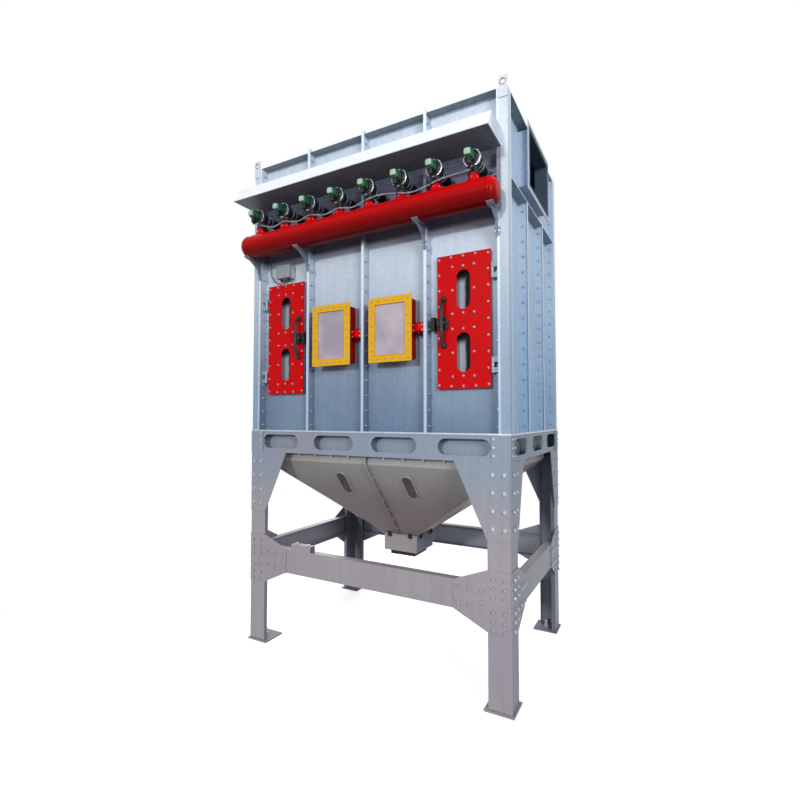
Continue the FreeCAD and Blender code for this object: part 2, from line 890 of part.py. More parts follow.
def make_walls():
    """Rear and side walls of the bag housing, and the four walls of the clean-air plenum."""
    front_ribs = [-front_bay, as_size(0), front_bay]
    side_ribs = [-size.side_rib_pitch, size.side_rib_pitch]
    front_end = half_width - wall_end
    side_end = half_depth - wall_end
    low, mid, top = ring_top, size.housing_top, size.roof_level
    rise = size.rib_rise
    ribbed_wall("rear_wall", "rear", half_depth, -front_end, front_end, front_ribs, low, mid)
    ribbed_wall("left_wall", "left", half_width, -side_end, side_end, side_ribs, low, mid)
    ribbed_wall("right_wall", "right", half_width, -side_end, side_end, side_ribs, low, mid)
    ribbed_wall("plenum_front", "front", half_depth, -front_end, front_end, front_ribs, mid, top, rise)
    ribbed_wall("plenum_rear", "rear", half_depth, -front_end, front_end, front_ribs, mid, top, rise)
    ribbed_wall("plenum_left", "left", half_width, -side_end, side_end, side_ribs, mid, top, rise)
    plenum_right = ribbed_wall("plenum_right", "right", half_width, -side_end, side_end, [], mid, top)
    duct_half = size.duct_width / 2 - size.duct_border
    duct_low, duct_high = duct_levels()
    sketch = new_sketch(plenum_right, "XZ_Plane", skin_side)
    draw_rectangle(
        sketch, (-duct_half, duct_low + size.duct_border), (duct_half, duct_high - size.duct_border))
    pocket_through(plenum_right, sketch)


def make_roof():
    """Flat roof sheet inside the ribs."""
    roof = block("roof_plate", (-skin_side, -skin_front, size.roof_level),
                 (skin_side, skin_front, size.roof_level + size.wall_sheet))
    keep(roof, "roof_plate")


def duct_levels():
    """Foot and head of the duct flange."""
    high = size.roof_level - size.duct_drop
    return high - size.duct_height, high


def make_duct():
    """Rectangular duct stub through the right plenum wall, with its bolted flange."""
    body = new_body("duct_outlet", TURNS["right"])
    half = size.duct_width / 2
    border = size.duct_border
    wall = size.duct_wall
    low, high = duct_levels()
    outer = ((border - half, low + border), (half - border, high - border))
    inner = ((border + wall - half, low + border + wall), (half - border - wall, high - border - wall))
    sketch, length = front_plate(body, skin_side, skin_side + size.duct_reach)
    draw_rectangle(sketch, *outer)
    draw_rectangle(sketch, *inner)
    pad(body, sketch, length)
    reach = skin_side + size.duct_reach
    sketch, length = front_plate(body, reach - size.duct_flange, reach)
    draw_rectangle(sketch, (-half, low), (half, high))
    draw_rectangle(sketch, *inner)
    middle = (low + high) / 2
    across = half - border / 2
    tall = (high - low) / 2 - border / 2
    for fraction_x, fraction_z in ((1, 1), (1, 1 / 3), (1 / 3, 1)):
        for side_x in (-1, 1):
            for side_z in (-1, 1):
                centre = (across * (fraction_x * side_x), middle + tall * (fraction_z * side_z))
                draw_circle(sketch, centre, size.duct_bolt_radius)
    pad(body, sketch, length)
    keep(body, "duct_outlet")


def make_hood():
    """Rain hood over the valves: top, sloping fascia and soffit of folded sheet, with a cheek at each end."""
    wall = size.hood_sheet
    half = half_width - size.hood_end_gap
    front = -half_depth
    lip_y, lip_z = -(half_depth + size.hood_lip_reach), size.hood_lip_level
    fold_y, fold_z = -(half_depth + size.hood_fold_reach), size.hood_fold_level
    body = new_body("rain_hood")
    sketch = new_sketch(body, "YZ_Plane", -half)
    draw_outline(sketch, [
        (front, lip_z), (lip_y, lip_z), (fold_y, fold_z), (front, fold_z), (front, fold_z - wall),
        (fold_y + wall, fold_z - wall), (lip_y + wall * 2, lip_z + wall), (front, lip_z + wall),
    ])
    pad(body, sketch, half * 2)
    for start in (-half, half - wall):
        sketch = new_sketch(body, "YZ_Plane", start)
        draw_outline(sketch, [(front, lip_z), (lip_y, lip_z), (fold_y, fold_z), (front, fold_z)])
        pad(body, sketch, wall)
    keep(body, "rain_hood")


def make_header():
    """Compressed-air header tank with its dished ends, stubs and brackets."""
    barrel = new_body("tank_barrel")
    reach = half_width - size.tank_end_gap
    sketch = new_sketch(barrel, "YZ_Plane", -reach)
    draw_circle(sketch, (header_y, size.tank_level), size.tank_radius)
    tube = pad(barrel, sketch, reach * 2)
    doc.recompute()
    ends = [f"Edge{i + 1}" for i, edge in enumerate(tube.Shape.Edges) if edge.Closed]
    dished = barrel.newObject("PartDesign::Fillet", "tank_dish")
    dished.Base = (tube, ends)
    bind(dished, "Radius", size.tank_end_round)
    pieces = [barrel]
    for number, at in enumerate(valve_places()):
        foot = (at, header_y, size.tank_level)
        pieces.append(rod(f"stub_{number}", "Z", foot, size.stub_rise, size.stub_radius))
    keep(fuse("header_tank", pieces), "header_tank")
    edge = half_width - wall_end
    brackets = [tank_bracket(number, at) for number, at in enumerate((-edge, -front_bay, front_bay, edge))]
    keep(together("tank_brackets", brackets), "tank_brackets")


def tank_bracket(number, at):
    """Knee plate out from a rib's face, with the curved saddle pad that the tank lies on."""
    level = size.tank_level
    plate = new_body(f"bracket_plate_{number}")
    sketch = new_sketch(plate, "YZ_Plane", at - size.bracket_plate / 2)
    draw_outline(sketch, [
        (-half_depth, level - size.bracket_foot),
        (-(half_depth + size.bracket_knee_reach), level - size.bracket_knee_drop),
        (-(half_depth + size.bracket_tip_reach), level - size.bracket_tip_drop),
        (header_y, level), (-half_depth, level + size.bracket_head),
    ])
    pad(plate, sketch, size.bracket_plate)
    start = (at - size.saddle_width / 2, header_y, level)
    saddle = rod(f"saddle_{number}", "X", start, size.saddle_width, size.tank_radius + size.saddle_sheet)
    saddle.Angle = SADDLE_SWEEP
    saddle.Placement.Rotation = ROD_TURNS["X"] * FreeCAD.Rotation(FreeCAD.Vector(0, 0, 1), SADDLE_START)
    seat = rod(f"bracket_seat_{number}", "X", start, size.saddle_width, size.tank_radius)
    return cut(f"bracket_{number}", fuse(f"bracket_blank_{number}", [plate, saddle]), seat)


def valve_places():
    """Eight places evenly along the header."""
    first = size.valve_end - half_width
    pitch = -first * 2 / 7
    return [first + pitch * number for number in range(8)]


def turned(name, at, steps):
    """Stepped round piece on a valve's level axis; a step is its start towards the front, end and radius."""
    body = new_body(name)
    sketch = new_sketch(body, "YZ_Plane", at)
    bind(sketch, "AttachmentOffset.Base.y", valve_level)
    outline = [(header_y - steps[0][0], 0)]
    for start, end, radius in steps:
        outline += [(header_y - start, radius), (header_y - end, radius)]
    outline.append((header_y - steps[-1][1], 0))
    draw_outline(sketch, outline)
    feature = body.newObject("PartDesign::Revolution", f"{name}_turn")
    feature.Profile = sketch
    feature.ReferenceAxis = (sketch, ["H_Axis"])
    feature.Angle = 360
    return body


def make_valves():
    """Right-angle pulse valves: inlet up from the tank, cover and coil in front, outlet pipe to the wall."""
    back = -size.valve_chamber_back
    seat = as_size(size.valve_chamber_front)
    flange = seat + size.valve_flange * 2
    dome = flange + size.valve_dome
    coil_end = dome + size.coil_length
    bodies, coils, pipes = [], [], []
    for number, at in enumerate(valve_places()):
        inlet = rod(f"valve_inlet_{number}", "Z", (at, header_y, stub_top), valve_level - stub_top,
                    size.valve_inlet_radius)
        head = turned(f"valve_head_{number}", at, [
            (back, seat, size.valve_chamber_radius), (seat, flange, size.valve_flange_radius),
            (flange, dome, size.valve_dome_radius)])
        bodies.append(fuse(f"valve_{number}", [inlet, head]))
        coils.append(turned(f"coil_{number}", at, [
            (dome, coil_end, size.coil_radius),
            (coil_end, coil_end + size.coil_cap_length, size.coil_cap_radius)]))
        pipes.append(rod(f"pipe_{number}", "Y", (at, header_y - back, valve_level),
                         size.tank_stand + size.rib_depth + back, size.pipe_radius))
    keep(together("pulse_valves", bodies), "pulse_valves")
    keep(together("valve_coils", coils), "valve_coils")
    keep(together("blow_pipes", pipes), "blow_pipes")


def make_vents():
    """Explosion vents: box on the panel, thin membrane, and the bolted frame over it."""
    front = half_depth + size.vent_stand
    frame_back = front - size.vent_frame
    membrane_back = frame_back - size.membrane
    frames = new_body("vent_frames")
    membranes = new_body("vent_membranes")
    boxes = new_body("vent_boxes")
    frame_sketch, frame_length = front_plate(frames, frame_back, front)
    sheet_sketch, sheet_length = front_plate(membranes, membrane_back, frame_back)
    box_sketch, box_length = front_plate(boxes, skin_front, membrane_back)
    for side in (-1, 1):
        draw_rectangle(frame_sketch, *vent_rectangle(side, 0))
        draw_rectangle(frame_sketch, *vent_rectangle(side, size.vent_border))
        draw_rectangle(sheet_sketch, *vent_rectangle(side, size.vent_box_wall))
        draw_rectangle(box_sketch, *vent_rectangle(side, size.vent_box_inset))
        draw_rectangle(box_sketch, *vent_rectangle(side, size.vent_box_inset + size.vent_box_wall))
    pad(frames, frame_sketch, frame_length)
    pad(membranes, sheet_sketch, sheet_length)
    pad(boxes, box_sketch, box_length)
    sketch, length = front_plate(boxes, skin_front, skin_front + size.sensor_depth)
    ribs = {-1: as_size(0), 1: front_bay}
    for side in (-1, 1):
        low = front_bay * (side / 2) + size.vent_width / 2 - size.vent_box_inset
        high = ribs[side] - size.rib_cap / 2
        tall = size.sensor_height / 2
        draw_rectangle(sketch, (low, size.vent_centre - tall), (high, size.vent_centre + tall))
    pad(boxes, sketch, length)
    keep(frames, "vent_frames")
    keep(membranes, "vent_membranes")
    keep(boxes, "vent_boxes")


def make_door(name, side):
    """One inspection door: red plate with two slots, pan behind it, grip, latch and hinge leaves."""
    face = skin_front + size.door_stand
    back = face - size.door_plate
    plate = new_body(f"{name}_skin")
    sketch, length = front_plate(plate, back, face)
    draw_rectangle(sketch, *door_rectangle(side, 0))
    slot = (size.door_height - size.door_slot_edge * 2 - size.door_slot_bridge) / 2
    for shift in (-1, 1):
        level = door_centre + (slot + size.door_slot_bridge) * (shift / 2)
        draw_slot(sketch, (door_middle * side, level), slot, size.door_slot_width, True)
    pad(plate, sketch, length)
    keep(plate, f"{name}_plate")

    pan = new_body(f"{name}_tray")
    pan_back = face - size.pan_depth - size.pan_sheet
    sketch, length = front_plate(pan, pan_back, back)
    draw_rectangle(sketch, *door_rectangle(side, size.pan_inset))
    draw_rectangle(sketch, *door_rectangle(side, size.pan_inset + size.pan_sheet))
    pad(pan, sketch, length)
    sketch, length = front_plate(pan, pan_back, pan_back + size.pan_sheet)
    draw_rectangle(sketch, *door_rectangle(side, size.pan_inset))
    pad(pan, sketch, length)
    keep(pan, f"{name}_pan")

    grip_x = (door_edge + size.grip_inset) * side
    radius = size.grip_radius
    bar_y = -(face + size.grip_stand)
    foot = door_centre - size.grip_length / 2
    grip = [rod(f"{name}_bar", "Z", (grip_x, bar_y, foot), size.grip_length, radius)]
    for number, level in enumerate((foot + radius, foot + size.grip_length - radius)):
        grip.append(rod(f"{name}_foot_{number}", "Y", (grip_x, bar_y, level), size.grip_stand, radius))
    latch = side_block(f"{name}_latch", door_edge * side, (door_edge + size.latch_reach) * side,
                       (-(face + size.latch_depth), latch_level), (-face, latch_level + size.latch_height))
    fittings = [fuse(f"{name}_grip", grip), latch] + hinge_leaves(name, side)
    keep(together(f"{name}_fixings", fittings), f"{name}_fittings")


def side_block(name, x_a, x_b, low, high):
    """Box between two places across, in either order, and two corners given as depth and level."""
    x_low, x_high = sorted((as_size(x_a), as_size(x_b)), key=lambda item: item.value)
    return block(name, (x_low, *low), (x_high, *high))


def hinge_levels():
    """Foot level of each of a door's two hinges."""
    half = size.hinge_length / 2
    low = size.door_bottom + size.hinge_inset - half
    high = size.door_bottom + size.door_height - size.hinge_inset - half
    return low, high


def hinge_leaves(name, side):
    """The door's half of each hinge: a leaf on the plate and the middle knuckle round the pin."""
    face = skin_front + size.door_stand
    axis_y = -(skin_front + size.hinge_stand)
    pin_x = hinge_side * side
    third = size.hinge_length / 3
    leaves = []
    for number, level in enumerate(hinge_levels()):
        low = level + third + size.hinge_play
        high = level + third * 2 - size.hinge_play
        knuckle = rod(f"{name}_knuckle_{number}", "Z", (pin_x, axis_y, low), high - low, size.hinge_radius)
        inner = (door_middle + door_width / 2 - size.hinge_lap) * side
        leaf = side_block(f"{name}_leaf_{number}", inner, pin_x,
                          (-(face + size.door_plate), low), (-face, high))
        blank = fuse(f"{name}_hinge_blank_{number}", [knuckle, leaf])
        hole = rod(f"{name}_leaf_bore_{number}", "Z", (pin_x, axis_y, level), size.hinge_length,
                   size.hinge_pin_radius + size.pin_clearance)
        leaves.append(cut(f"{name}_hinge_{number}", blank, hole))
    return leaves


def make_door_fittings():
    """Fixed halves of the hinges, with their pins, and the latch keepers."""
    face = skin_front + size.door_stand
    axis_y = -(skin_front + size.hinge_stand)
    third = size.hinge_length / 3
    half_arm = size.hinge_arm / 2
    pieces = []
    for name, side in (("left", -1), ("right", 1)):
        pin_x = hinge_side * side
        wall_x = (half_width - wall_end - size.wall_sheet) * side
        for number, level in enumerate(hinge_levels()):
            parts = [rod(f"pin_{name}_{number}", "Z", (pin_x, axis_y, level), size.hinge_length,
                         size.hinge_pin_radius)]
            for end, start in (("low", level), ("high", level + third * 2)):
                parts.append(rod(f"ear_{name}_{number}_{end}", "Z", (pin_x, axis_y, start), third,
                                 size.hinge_radius))
                parts.append(side_block(f"arm_{name}_{number}_{end}", pin_x, wall_x,
                                        (axis_y - half_arm, start), (axis_y + half_arm, start + third)))
            pieces.append(fuse(f"hinge_{name}_{number}", parts))
        near = (door_edge - size.door_gap) * side
        far = near - size.keeper_length * side
        pieces.append(side_block(f"keeper_{name}", far, near, (-(face + size.latch_depth), latch_level),
                                 (-skin_front, latch_level + size.latch_height)))
    keep(together("door_fittings", pieces), "door_fittings")


def make_controller():
    """Small controller box on the left outer panel, under the header tank."""
    half = size.controller_width / 2
    foot = size.door_bottom + size.door_height + size.controller_lift
    box = block("controller_case", (-door_middle - half, -(skin_front + size.controller_depth), foot),
                (half - door_middle, -skin_front, foot + size.controller_height))
    keep(box, "controller_box")


# Routes from end to end, in millimetres
VALVE_CABLE_ROUTE = [
    (-808, -788, 2996), (-768, -789, 2989), (-715, -789, 2968), (-655, -788, 2953), (-606, -789, 2966),
    (-560, -790, 2979), (-505, -789, 2963), (-440, -788, 2949), (-382, -789, 2961), (-333, -790, 2977),
    (-280, -789, 2962), (-215, -788, 2948), (-150, -789, 2957), (-100, -790, 2972), (-50, -789, 2959),
    (5, -788, 2948), (60, -789, 2959), (108, -790, 2973), (165, -790, 2982), (222, -790, 2984),
    (278, -789, 2977), (335, -790, 2966), (392, -789, 2953), (452, -788, 2949), (508, -789, 2957),
    (562, -790, 2971), (615, -790, 2982), (668, -790, 2986), (722, -790, 2987), (770, -789, 2989),
    (808, -788, 2994),
]
CONTROLLER_LEAD_ROUTE = [
    (-694, -626, 2630), (-696, -624, 2619), (-706, -620, 2609), (-724, -616, 2604.5), (-748, -613, 2605),
    (-776, -611, 2612), (-803, -610, 2627), (-827, -609, 2650), (-843, -609, 2680), (-850, -610, 2714),
    (-848, -612, 2750), (-840, -617, 2785), (-834, -627, 2822), (-834, -641, 2860), (-840, -656, 2900),
    (-848, -674, 2938), (-854, -696, 2966), (-855, -722, 2984), (-849, -743, 2991), (-837, -755, 2994),
]


def cable(label, route, radius):
    """Round cable along straight runs joined by tangent arcs, each arc as large as its runs allow."""
    points = [FreeCAD.Vector(*point) for point in route]
    edges = []
    radii = []
    start = points[0]
    for before, corner, after in zip(points, points[1:], points[2:]):
        back = (before - corner).normalize()
        ahead = (after - corner).normalize()
        trim = 0.45 * min(before.distanceToPoint(corner), corner.distanceToPoint(after))
        half_turn = (math.pi - back.getAngle(ahead)) / 2
        bend = trim / math.tan(half_turn)
        middle = corner + (back + ahead).normalize() * (bend / math.cos(half_turn) - bend)
        edges.append(Part.LineSegment(start, corner + back * trim).toShape())
        edges.append(Part.Arc(corner + back * trim, middle, corner + ahead * trim).toShape())
        radii.append(bend)
        start = corner + ahead * trim
    edges.append(Part.LineSegment(start, points[-1]).toShape())
    path = Part.Wire(edges)
    section = Part.Wire([Part.makeCircle(radius.value, points[0], points[1] - points[0])])
    item = doc.addObject("Part::Feature", label)
    item.Shape = path.makePipeShell([section], True, False)
    item.Placement = FreeCAD.Placement()
    full = math.pi * radius.value ** 2 * path.Length
    print(f"{label}: length {path.Length:.0f} mm, volume ratio {item.Shape.Volume / full:.4f},"
          f" radii {min(radii):.0f} to {max(radii):.0f} mm")
    keep(item, label)


def make_cables():
    """Grey cable from valve to valve, and the black lead from the controller up behind the tank."""
    cable("valve_cable", VALVE_CABLE_ROUTE, size.cable_radius)
    cable("controller_lead", CONTROLLER_LEAD_ROUTE, size.lead_radius)


def check_and_write():
    """Recompute, stop on any failed object, and write each sub-part to its file."""
    doc.recompute()
    for item in doc.Objects:
        bad = [state for state in item.State if state in ("Invalid", "Error")]
        if bad:
            raise RuntimeError(f"{item.Label} is {bad[0]}")
    for item in ROOT_NODES:
        shape = item.Shape
        if shape.isNull() or not shape.isValid():
            raise RuntimeError(f"{item.Label} has no valid shape")
    os.makedirs("parts", exist_ok=True)
    for item in ROOT_NODES:
        item.Shape.exportStep(f"parts/{item.Label}.step")
        box = item.Shape.BoundBox
        print(f"{item.Label}: {len(item.Shape.Solids)} solids, {item.Shape.Volume / 1e6:.3f} l,"
              f" x {box.XMin:.1f}..{box.XMax:.1f} y {box.YMin:.1f}..{box.YMax:.1f}"
              f" z {box.ZMin:.1f}..{box.ZMax:.1f}")


make_legs()
make_base_plates()
make_gussets()
make_braces()
make_ring()
make_ring_corner_plates()
make_hopper()
make_hopper_windows()
make_outlet()
make_corner_posts()
make_lifting_lugs()
make_front_panels()
make_walls()
make_roof()
make_duct()
make_hood()
make_header()
make_valves()
make_vents()
make_door("door_left", -1)
make_door("door_right", 1)
make_door_fittings()
make_controller()
make_cables()
check_and_write()
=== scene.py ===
import math

import bpy
import numpy as np
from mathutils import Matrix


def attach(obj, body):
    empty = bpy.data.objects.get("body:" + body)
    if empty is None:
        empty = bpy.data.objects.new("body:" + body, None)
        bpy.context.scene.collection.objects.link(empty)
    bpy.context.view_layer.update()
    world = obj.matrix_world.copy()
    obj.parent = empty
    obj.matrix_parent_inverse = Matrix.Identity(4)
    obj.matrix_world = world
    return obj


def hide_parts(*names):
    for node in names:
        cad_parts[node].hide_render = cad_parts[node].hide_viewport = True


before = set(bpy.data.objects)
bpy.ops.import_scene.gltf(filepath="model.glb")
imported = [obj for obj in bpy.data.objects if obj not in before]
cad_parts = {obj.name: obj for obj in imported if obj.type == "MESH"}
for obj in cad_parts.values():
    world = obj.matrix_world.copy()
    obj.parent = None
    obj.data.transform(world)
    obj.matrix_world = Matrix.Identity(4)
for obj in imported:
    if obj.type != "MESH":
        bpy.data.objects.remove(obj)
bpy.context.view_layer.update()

chance = np.random.default_rng(26)
scene = bpy.context.scene


# Main places, in metres: X right, Y back and Z up, from the floor under the middle of the frame.

# Half the width and depth, to the outer faces of the posts, ribs and ring.
HALF_WIDTH = 0.975
HALF_DEPTH = 0.655

# The doors' middle line, on either side, and the duct's.
DOOR_X = 0.690
DUCT_LEVEL = 3.270


# Camera: at eye level, off the right front corner.

lens = bpy.data.cameras.new("eye")
lens.lens = 21.384
lens.sensor_width = 36.0
camera = bpy.data.objects.new("eye", lens)
camera.location = (1.7091, -3.2384, 1.6207)
camera.rotation_euler = (math.radians(92.0916), 0.0, math.radians(28.9034))
scene.collection.objects.link(camera)
scene.camera = camera


# Shader maths: expressions on values add their own nodes.

class Value:
    """A number that changes over a surface; adding, taking away and multiplying add Math nodes."""

    def __init__(self, finish, socket):
        self.finish = finish
        self.socket = socket

    def __add__(self, other):
        return self.finish.maths("ADD", self, other)

    def __radd__(self, other):
        return self.finish.maths("ADD", other, self)

    def __sub__(self, other):
        return self.finish.maths("SUBTRACT", self, other)

    def __rsub__(self, other):
        return self.finish.maths("SUBTRACT", other, self)

    def __mul__(self, other):
        return self.finish.maths("MULTIPLY", self, other)

    def __rmul__(self, other):
        return self.finish.maths("MULTIPLY", other, self)


class Finish:
    """One material and its nodes."""

    def __init__(self, name):
        self.material = bpy.data.materials.new(name)
        self.material.use_nodes = True
        self.tree = self.material.node_tree
        self.tree.nodes.clear()
        sources = self.node("ShaderNodeTexCoord")
        self.places = sources.outputs["Object"]
        self.directions = sources.outputs["Normal"]

    def node(self, kind, settings=None, values=None):
        """Add a node: its settings first, then its sockets' values or links."""
        made = self.tree.nodes.new(kind)
        for name, setting in (settings or {}).items():
            setattr(made, name, setting)
        for name, value in (values or {}).items():
            socket = made.inputs[name]
            if isinstance(value, Value):
                value = value.socket
            if isinstance(value, bpy.types.NodeSocket):
                self.tree.links.new(value, socket)
            elif isinstance(value, tuple) and len(value) == 3 and socket.type == "RGBA":
                socket.default_value = (*value, 1.0)
            else:
                socket.default_value = value
        return made

    def maths(self, operation, *terms):
        made = self.node("ShaderNodeMath", {"operation": operation}, dict(enumerate(terms)))
        return Value(self, made.outputs[0])

    def stretched(self, scale):
        """Object coordinates, stretched for a pattern."""
        return self.node("ShaderNodeMapping", None, {"Vector": self.places, "Scale": scale}).outputs[0]

    def noise(self, scale, detail=3.0, places=None, rough=0.5):
        """Cloudy pattern, 0 to 1."""
        made = self.node("ShaderNodeTexNoise", None, {
            "Vector": places or self.places, "Scale": scale, "Detail": detail, "Roughness": rough})
        return Value(self, made.outputs[0])

    def crystals(self, scale):
        """A chance number, 0 to 1, for each cell of a cell pattern."""
        cells = self.node("ShaderNodeTexVoronoi", None, {"Vector": self.places, "Scale": scale})
        parts = self.node("ShaderNodeSeparateColor", None, {0: cells.outputs["Color"]})
        return Value(self, parts.outputs[0])

    def axis(self, index):
        """Object coordinate along X, Y or Z, in metres."""
        return Value(self, self.node("ShaderNodeSeparateXYZ", None, {0: self.places}).outputs[index])

    def faces(self, index):
        """Part of the surface's own direction along X, Y or Z, -1 to 1."""
        return Value(self, self.node("ShaderNodeSeparateXYZ", None, {0: self.directions}).outputs[index])

    def step(self, value, low, high):
        """0 below low, 1 above high, and smooth between."""
        made = self.node("ShaderNodeMapRange", {"interpolation_type": "SMOOTHSTEP"},
                         {"Value": value, "From Min": low, "From Max": high})
        return Value(self, made.outputs[0])

    def below(self, value, low, high):
        """1 below low, 0 above high, and smooth between."""
        return 1.0 - self.step(value, low, high)

    def squarely(self, index):
        """1 where the surface faces along an axis, either way, and 0 where it is turned from it."""
        return self.step(self.maths("ABSOLUTE", self.faces(index)), 0.70, 0.80)

    def mix(self, share, first, second, how="MIX"):
        """Two colours mixed by a share."""
        made = self.node("ShaderNodeMix", {"data_type": "RGBA", "blend_type": how},
                         {0: share, 6: first, 7: second})
        return made.outputs[2]

    def tint(self, colour, amount):
        """A colour made lighter or darker: each channel times the amount."""
        grey = self.node("ShaderNodeCombineColor", None, {0: amount, 1: amount, 2: amount})
        return self.mix(1.0, colour, grey.outputs[0], "MULTIPLY")

    def bump(self, height, distance):
        """The surface's direction with a height on it, of so many metres at 1."""
        made = self.node("ShaderNodeBump", None, {"Height": height, "Distance": distance, "Strength": 1.0})
        return made.outputs[0]

    def surface(self, **sockets):
        """Close the material with a Principled shader; underscores stand for spaces."""
        values = {name.replace("_", " "): value for name, value in sockets.items()}
        shader = self.node("ShaderNodeBsdfPrincipled", None, values)
        self.node("ShaderNodeOutputMaterial", None, {"Surface": shader.outputs[0]})
        return self.material


def colour(red, green, blue):
    """Screen colour of 0 to 255 a channel, as the linear light that Blender mixes."""
    share = np.array([red, green, blue]) / 255.0
    light = np.where(share <= 0.04045, share / 12.92, ((share + 0.055) / 1.055) ** 2.4)
    return tuple(float(channel) for channel in light)


def zinc(make, base, clouds, metallic, spangle, wave, shade=0.0):
    """Galvanised steel over a base tone: each crystal lighter or darker by chance as far as spangle
    says, faint run-down streaks, a slight wave, and a share of shade."""
    cells = make.crystals(70.0)
    runs = make.noise(6.0, 5.0, make.stretched((5.0, 5.0, 0.35)))
    fine = make.noise(220.0, 2.0)
    amount = 1.0 + (cells - 0.5) * spangle + (runs - 0.5) * 0.20 + (fine - 0.5) * 0.05 - shade
    wavy = make.noise(2.6, 1.0) * wave + cells * 0.02 + fine * 0.015
    return make.surface(
        Base_Color=make.tint(base, amount), Metallic=metallic,
        Roughness=0.42 + cells * 0.07 + (clouds - 0.5) * 0.14,
        Specular_IOR_Level=0.16, Normal=make.bump(wavy, 0.004))


# Soft edges that the zinc finishes follow: each pair is where one starts and where it ends.

# In the cloud pattern, 0 to 1.
PATCHES = (0.42, 0.66)

# On the housing, in metres from the middle or over the floor.
# The sheet's and the posts' painted light: where their rise with height starts and ends.
SHEET_RISE = (1.50, 3.00)
POST_RISE = (1.6, 3.5)
SIDE_WALL = (0.9115, 0.9125)
FRONT_FOLD = (0.6490, 0.6505)
FRONT_FOLD_END = (0.6560, 0.6580)
SIDE_FOLD = (0.9685, 0.9700)
POST_SIDE = (0.9235, 0.9245)
POST_FRONT = (0.6030, 0.6045)

# Round the painted highlight along the hood's front.
HOOD_FRONT = (0.826, 0.830)
HOOD_FOOT = (3.160, 3.163)

# Round the painted shade on the wall under the hood, down to behind the air header.
HOOD_SHADE_TOP = (3.1500, 3.1550)
HOOD_SHADE_FOOT = (2.765, 2.800)
HOOD_SHADE_FACE = (-0.590, -0.575)
HOOD_SHADE_FADE = (3.040, 3.150)
HOOD_SHADE_END = (0.926, 0.940)


def housing_zinc():
    """Sheet of the housing: sheet and posts paler with height as painted light, the posts in a plain tone,
    the side walls painted paler, painted highlights on the folded edges and along the hood's front,
    painted shade on the front under the rain hood and behind the air header, and on faces turned down."""
    make = Finish("galvanised_sheet")
    across, depth, height = (make.axis(index) for index in range(3))
    wide, deep = make.maths("ABSOLUTE", across), make.maths("ABSOLUTE", depth)
    forward, sideways = make.squarely(1), make.squarely(0)
    clouds = make.noise(1.3, 4.0)
    # Painted light: the sheet grows paler with height.
    rise = make.step(height + (clouds - 0.5) * 0.6, *SHEET_RISE)
    front = make.mix(rise, colour(106, 125, 150), colour(204, 215, 228))
    cloudy = make.mix(rise, colour(122, 146, 164), colour(190, 206, 222))
    base = make.mix(make.step(clouds, *PATCHES) * 0.6, front, cloudy)
    # Painted light: the side walls are paler than the front.
    walls = make.step(wide, *SIDE_WALL)
    base = make.mix(walls, base, make.mix(rise, colour(156, 182, 204), colour(190, 208, 226)))
    # Painted highlight: the folded edges of the ribs and side walls are paler.
    painted_fold_highlight = make.step(deep, *FRONT_FOLD) * make.below(deep, *FRONT_FOLD_END) * forward
    painted_fold_highlight = make.maths("MAXIMUM", painted_fold_highlight, make.step(wide, *SIDE_FOLD) * sideways)
    base = make.mix(painted_fold_highlight, base, make.mix(rise, colour(172, 190, 212), colour(226, 234, 244)))
    # The posts in a plain tone, paler with height as painted light.
    posts = make.step(wide, *POST_SIDE) * make.step(deep, *POST_FRONT)
    base = make.mix(posts, base, make.mix(
        make.step(height, *POST_RISE), colour(136, 156, 176), colour(206, 218, 230)))
    # Painted highlight: a near-white band along the hood's front.
    painted_hood_highlight = make.step(deep, *HOOD_FRONT) * make.step(height, *HOOD_FOOT)
    base = make.mix(painted_hood_highlight, base, colour(238, 243, 250))
    # Painted shade: the front under the rain hood and behind the air header darker and purple-tinted.
    painted_hood_shade = make.below(height, *HOOD_SHADE_TOP) * make.step(height, *HOOD_SHADE_FOOT)
    painted_hood_shade = painted_hood_shade * make.below(depth, *HOOD_SHADE_FACE) * (1.0 - make.step(height, *HOOD_SHADE_FADE) * 0.35)
    painted_hood_shade = painted_hood_shade * make.below(wide, *HOOD_SHADE_END)
    base = make.mix(painted_hood_shade * 0.6, base, colour(138, 132, 178))
    # Painted shade on faces turned down, such as the hood's underside.
    painted_under_shade = make.step(0.0 - make.faces(2), 0.60, 0.80)
    return zinc(make, base, clouds, 0.07, 0.10, 0.7, make.maths("MAXIMUM", painted_hood_shade * 0.52, painted_under_shade * 0.56))


def two_tone_zinc(name, low, high, cloud, levels, shade_tone, metallic, spangle, wave):
    """Galvanised steel that changes tone with height between two levels, a third in soft clouds,
    and painted shade on faces to the sides and at the back."""
    make = Finish(name)
    clouds = make.noise(1.3, 4.0)
    base = make.mix(make.step(make.axis(2) + (clouds - 0.5) * 0.5, *levels), low, high)
    base = make.mix(make.step(clouds, *PATCHES) * 0.55, base, cloud)
    # Painted shade: faces to the sides and parts at the back take the shade tone.
    painted_side_shade = make.squarely(0) * 0.55
    painted_side_shade = make.maths("MAXIMUM", painted_side_shade, make.step(make.axis(1), 0.30, 0.48) * 0.65)
    return zinc(make, make.mix(painted_side_shade, base, shade_tone), clouds, metallic, spangle, wave)


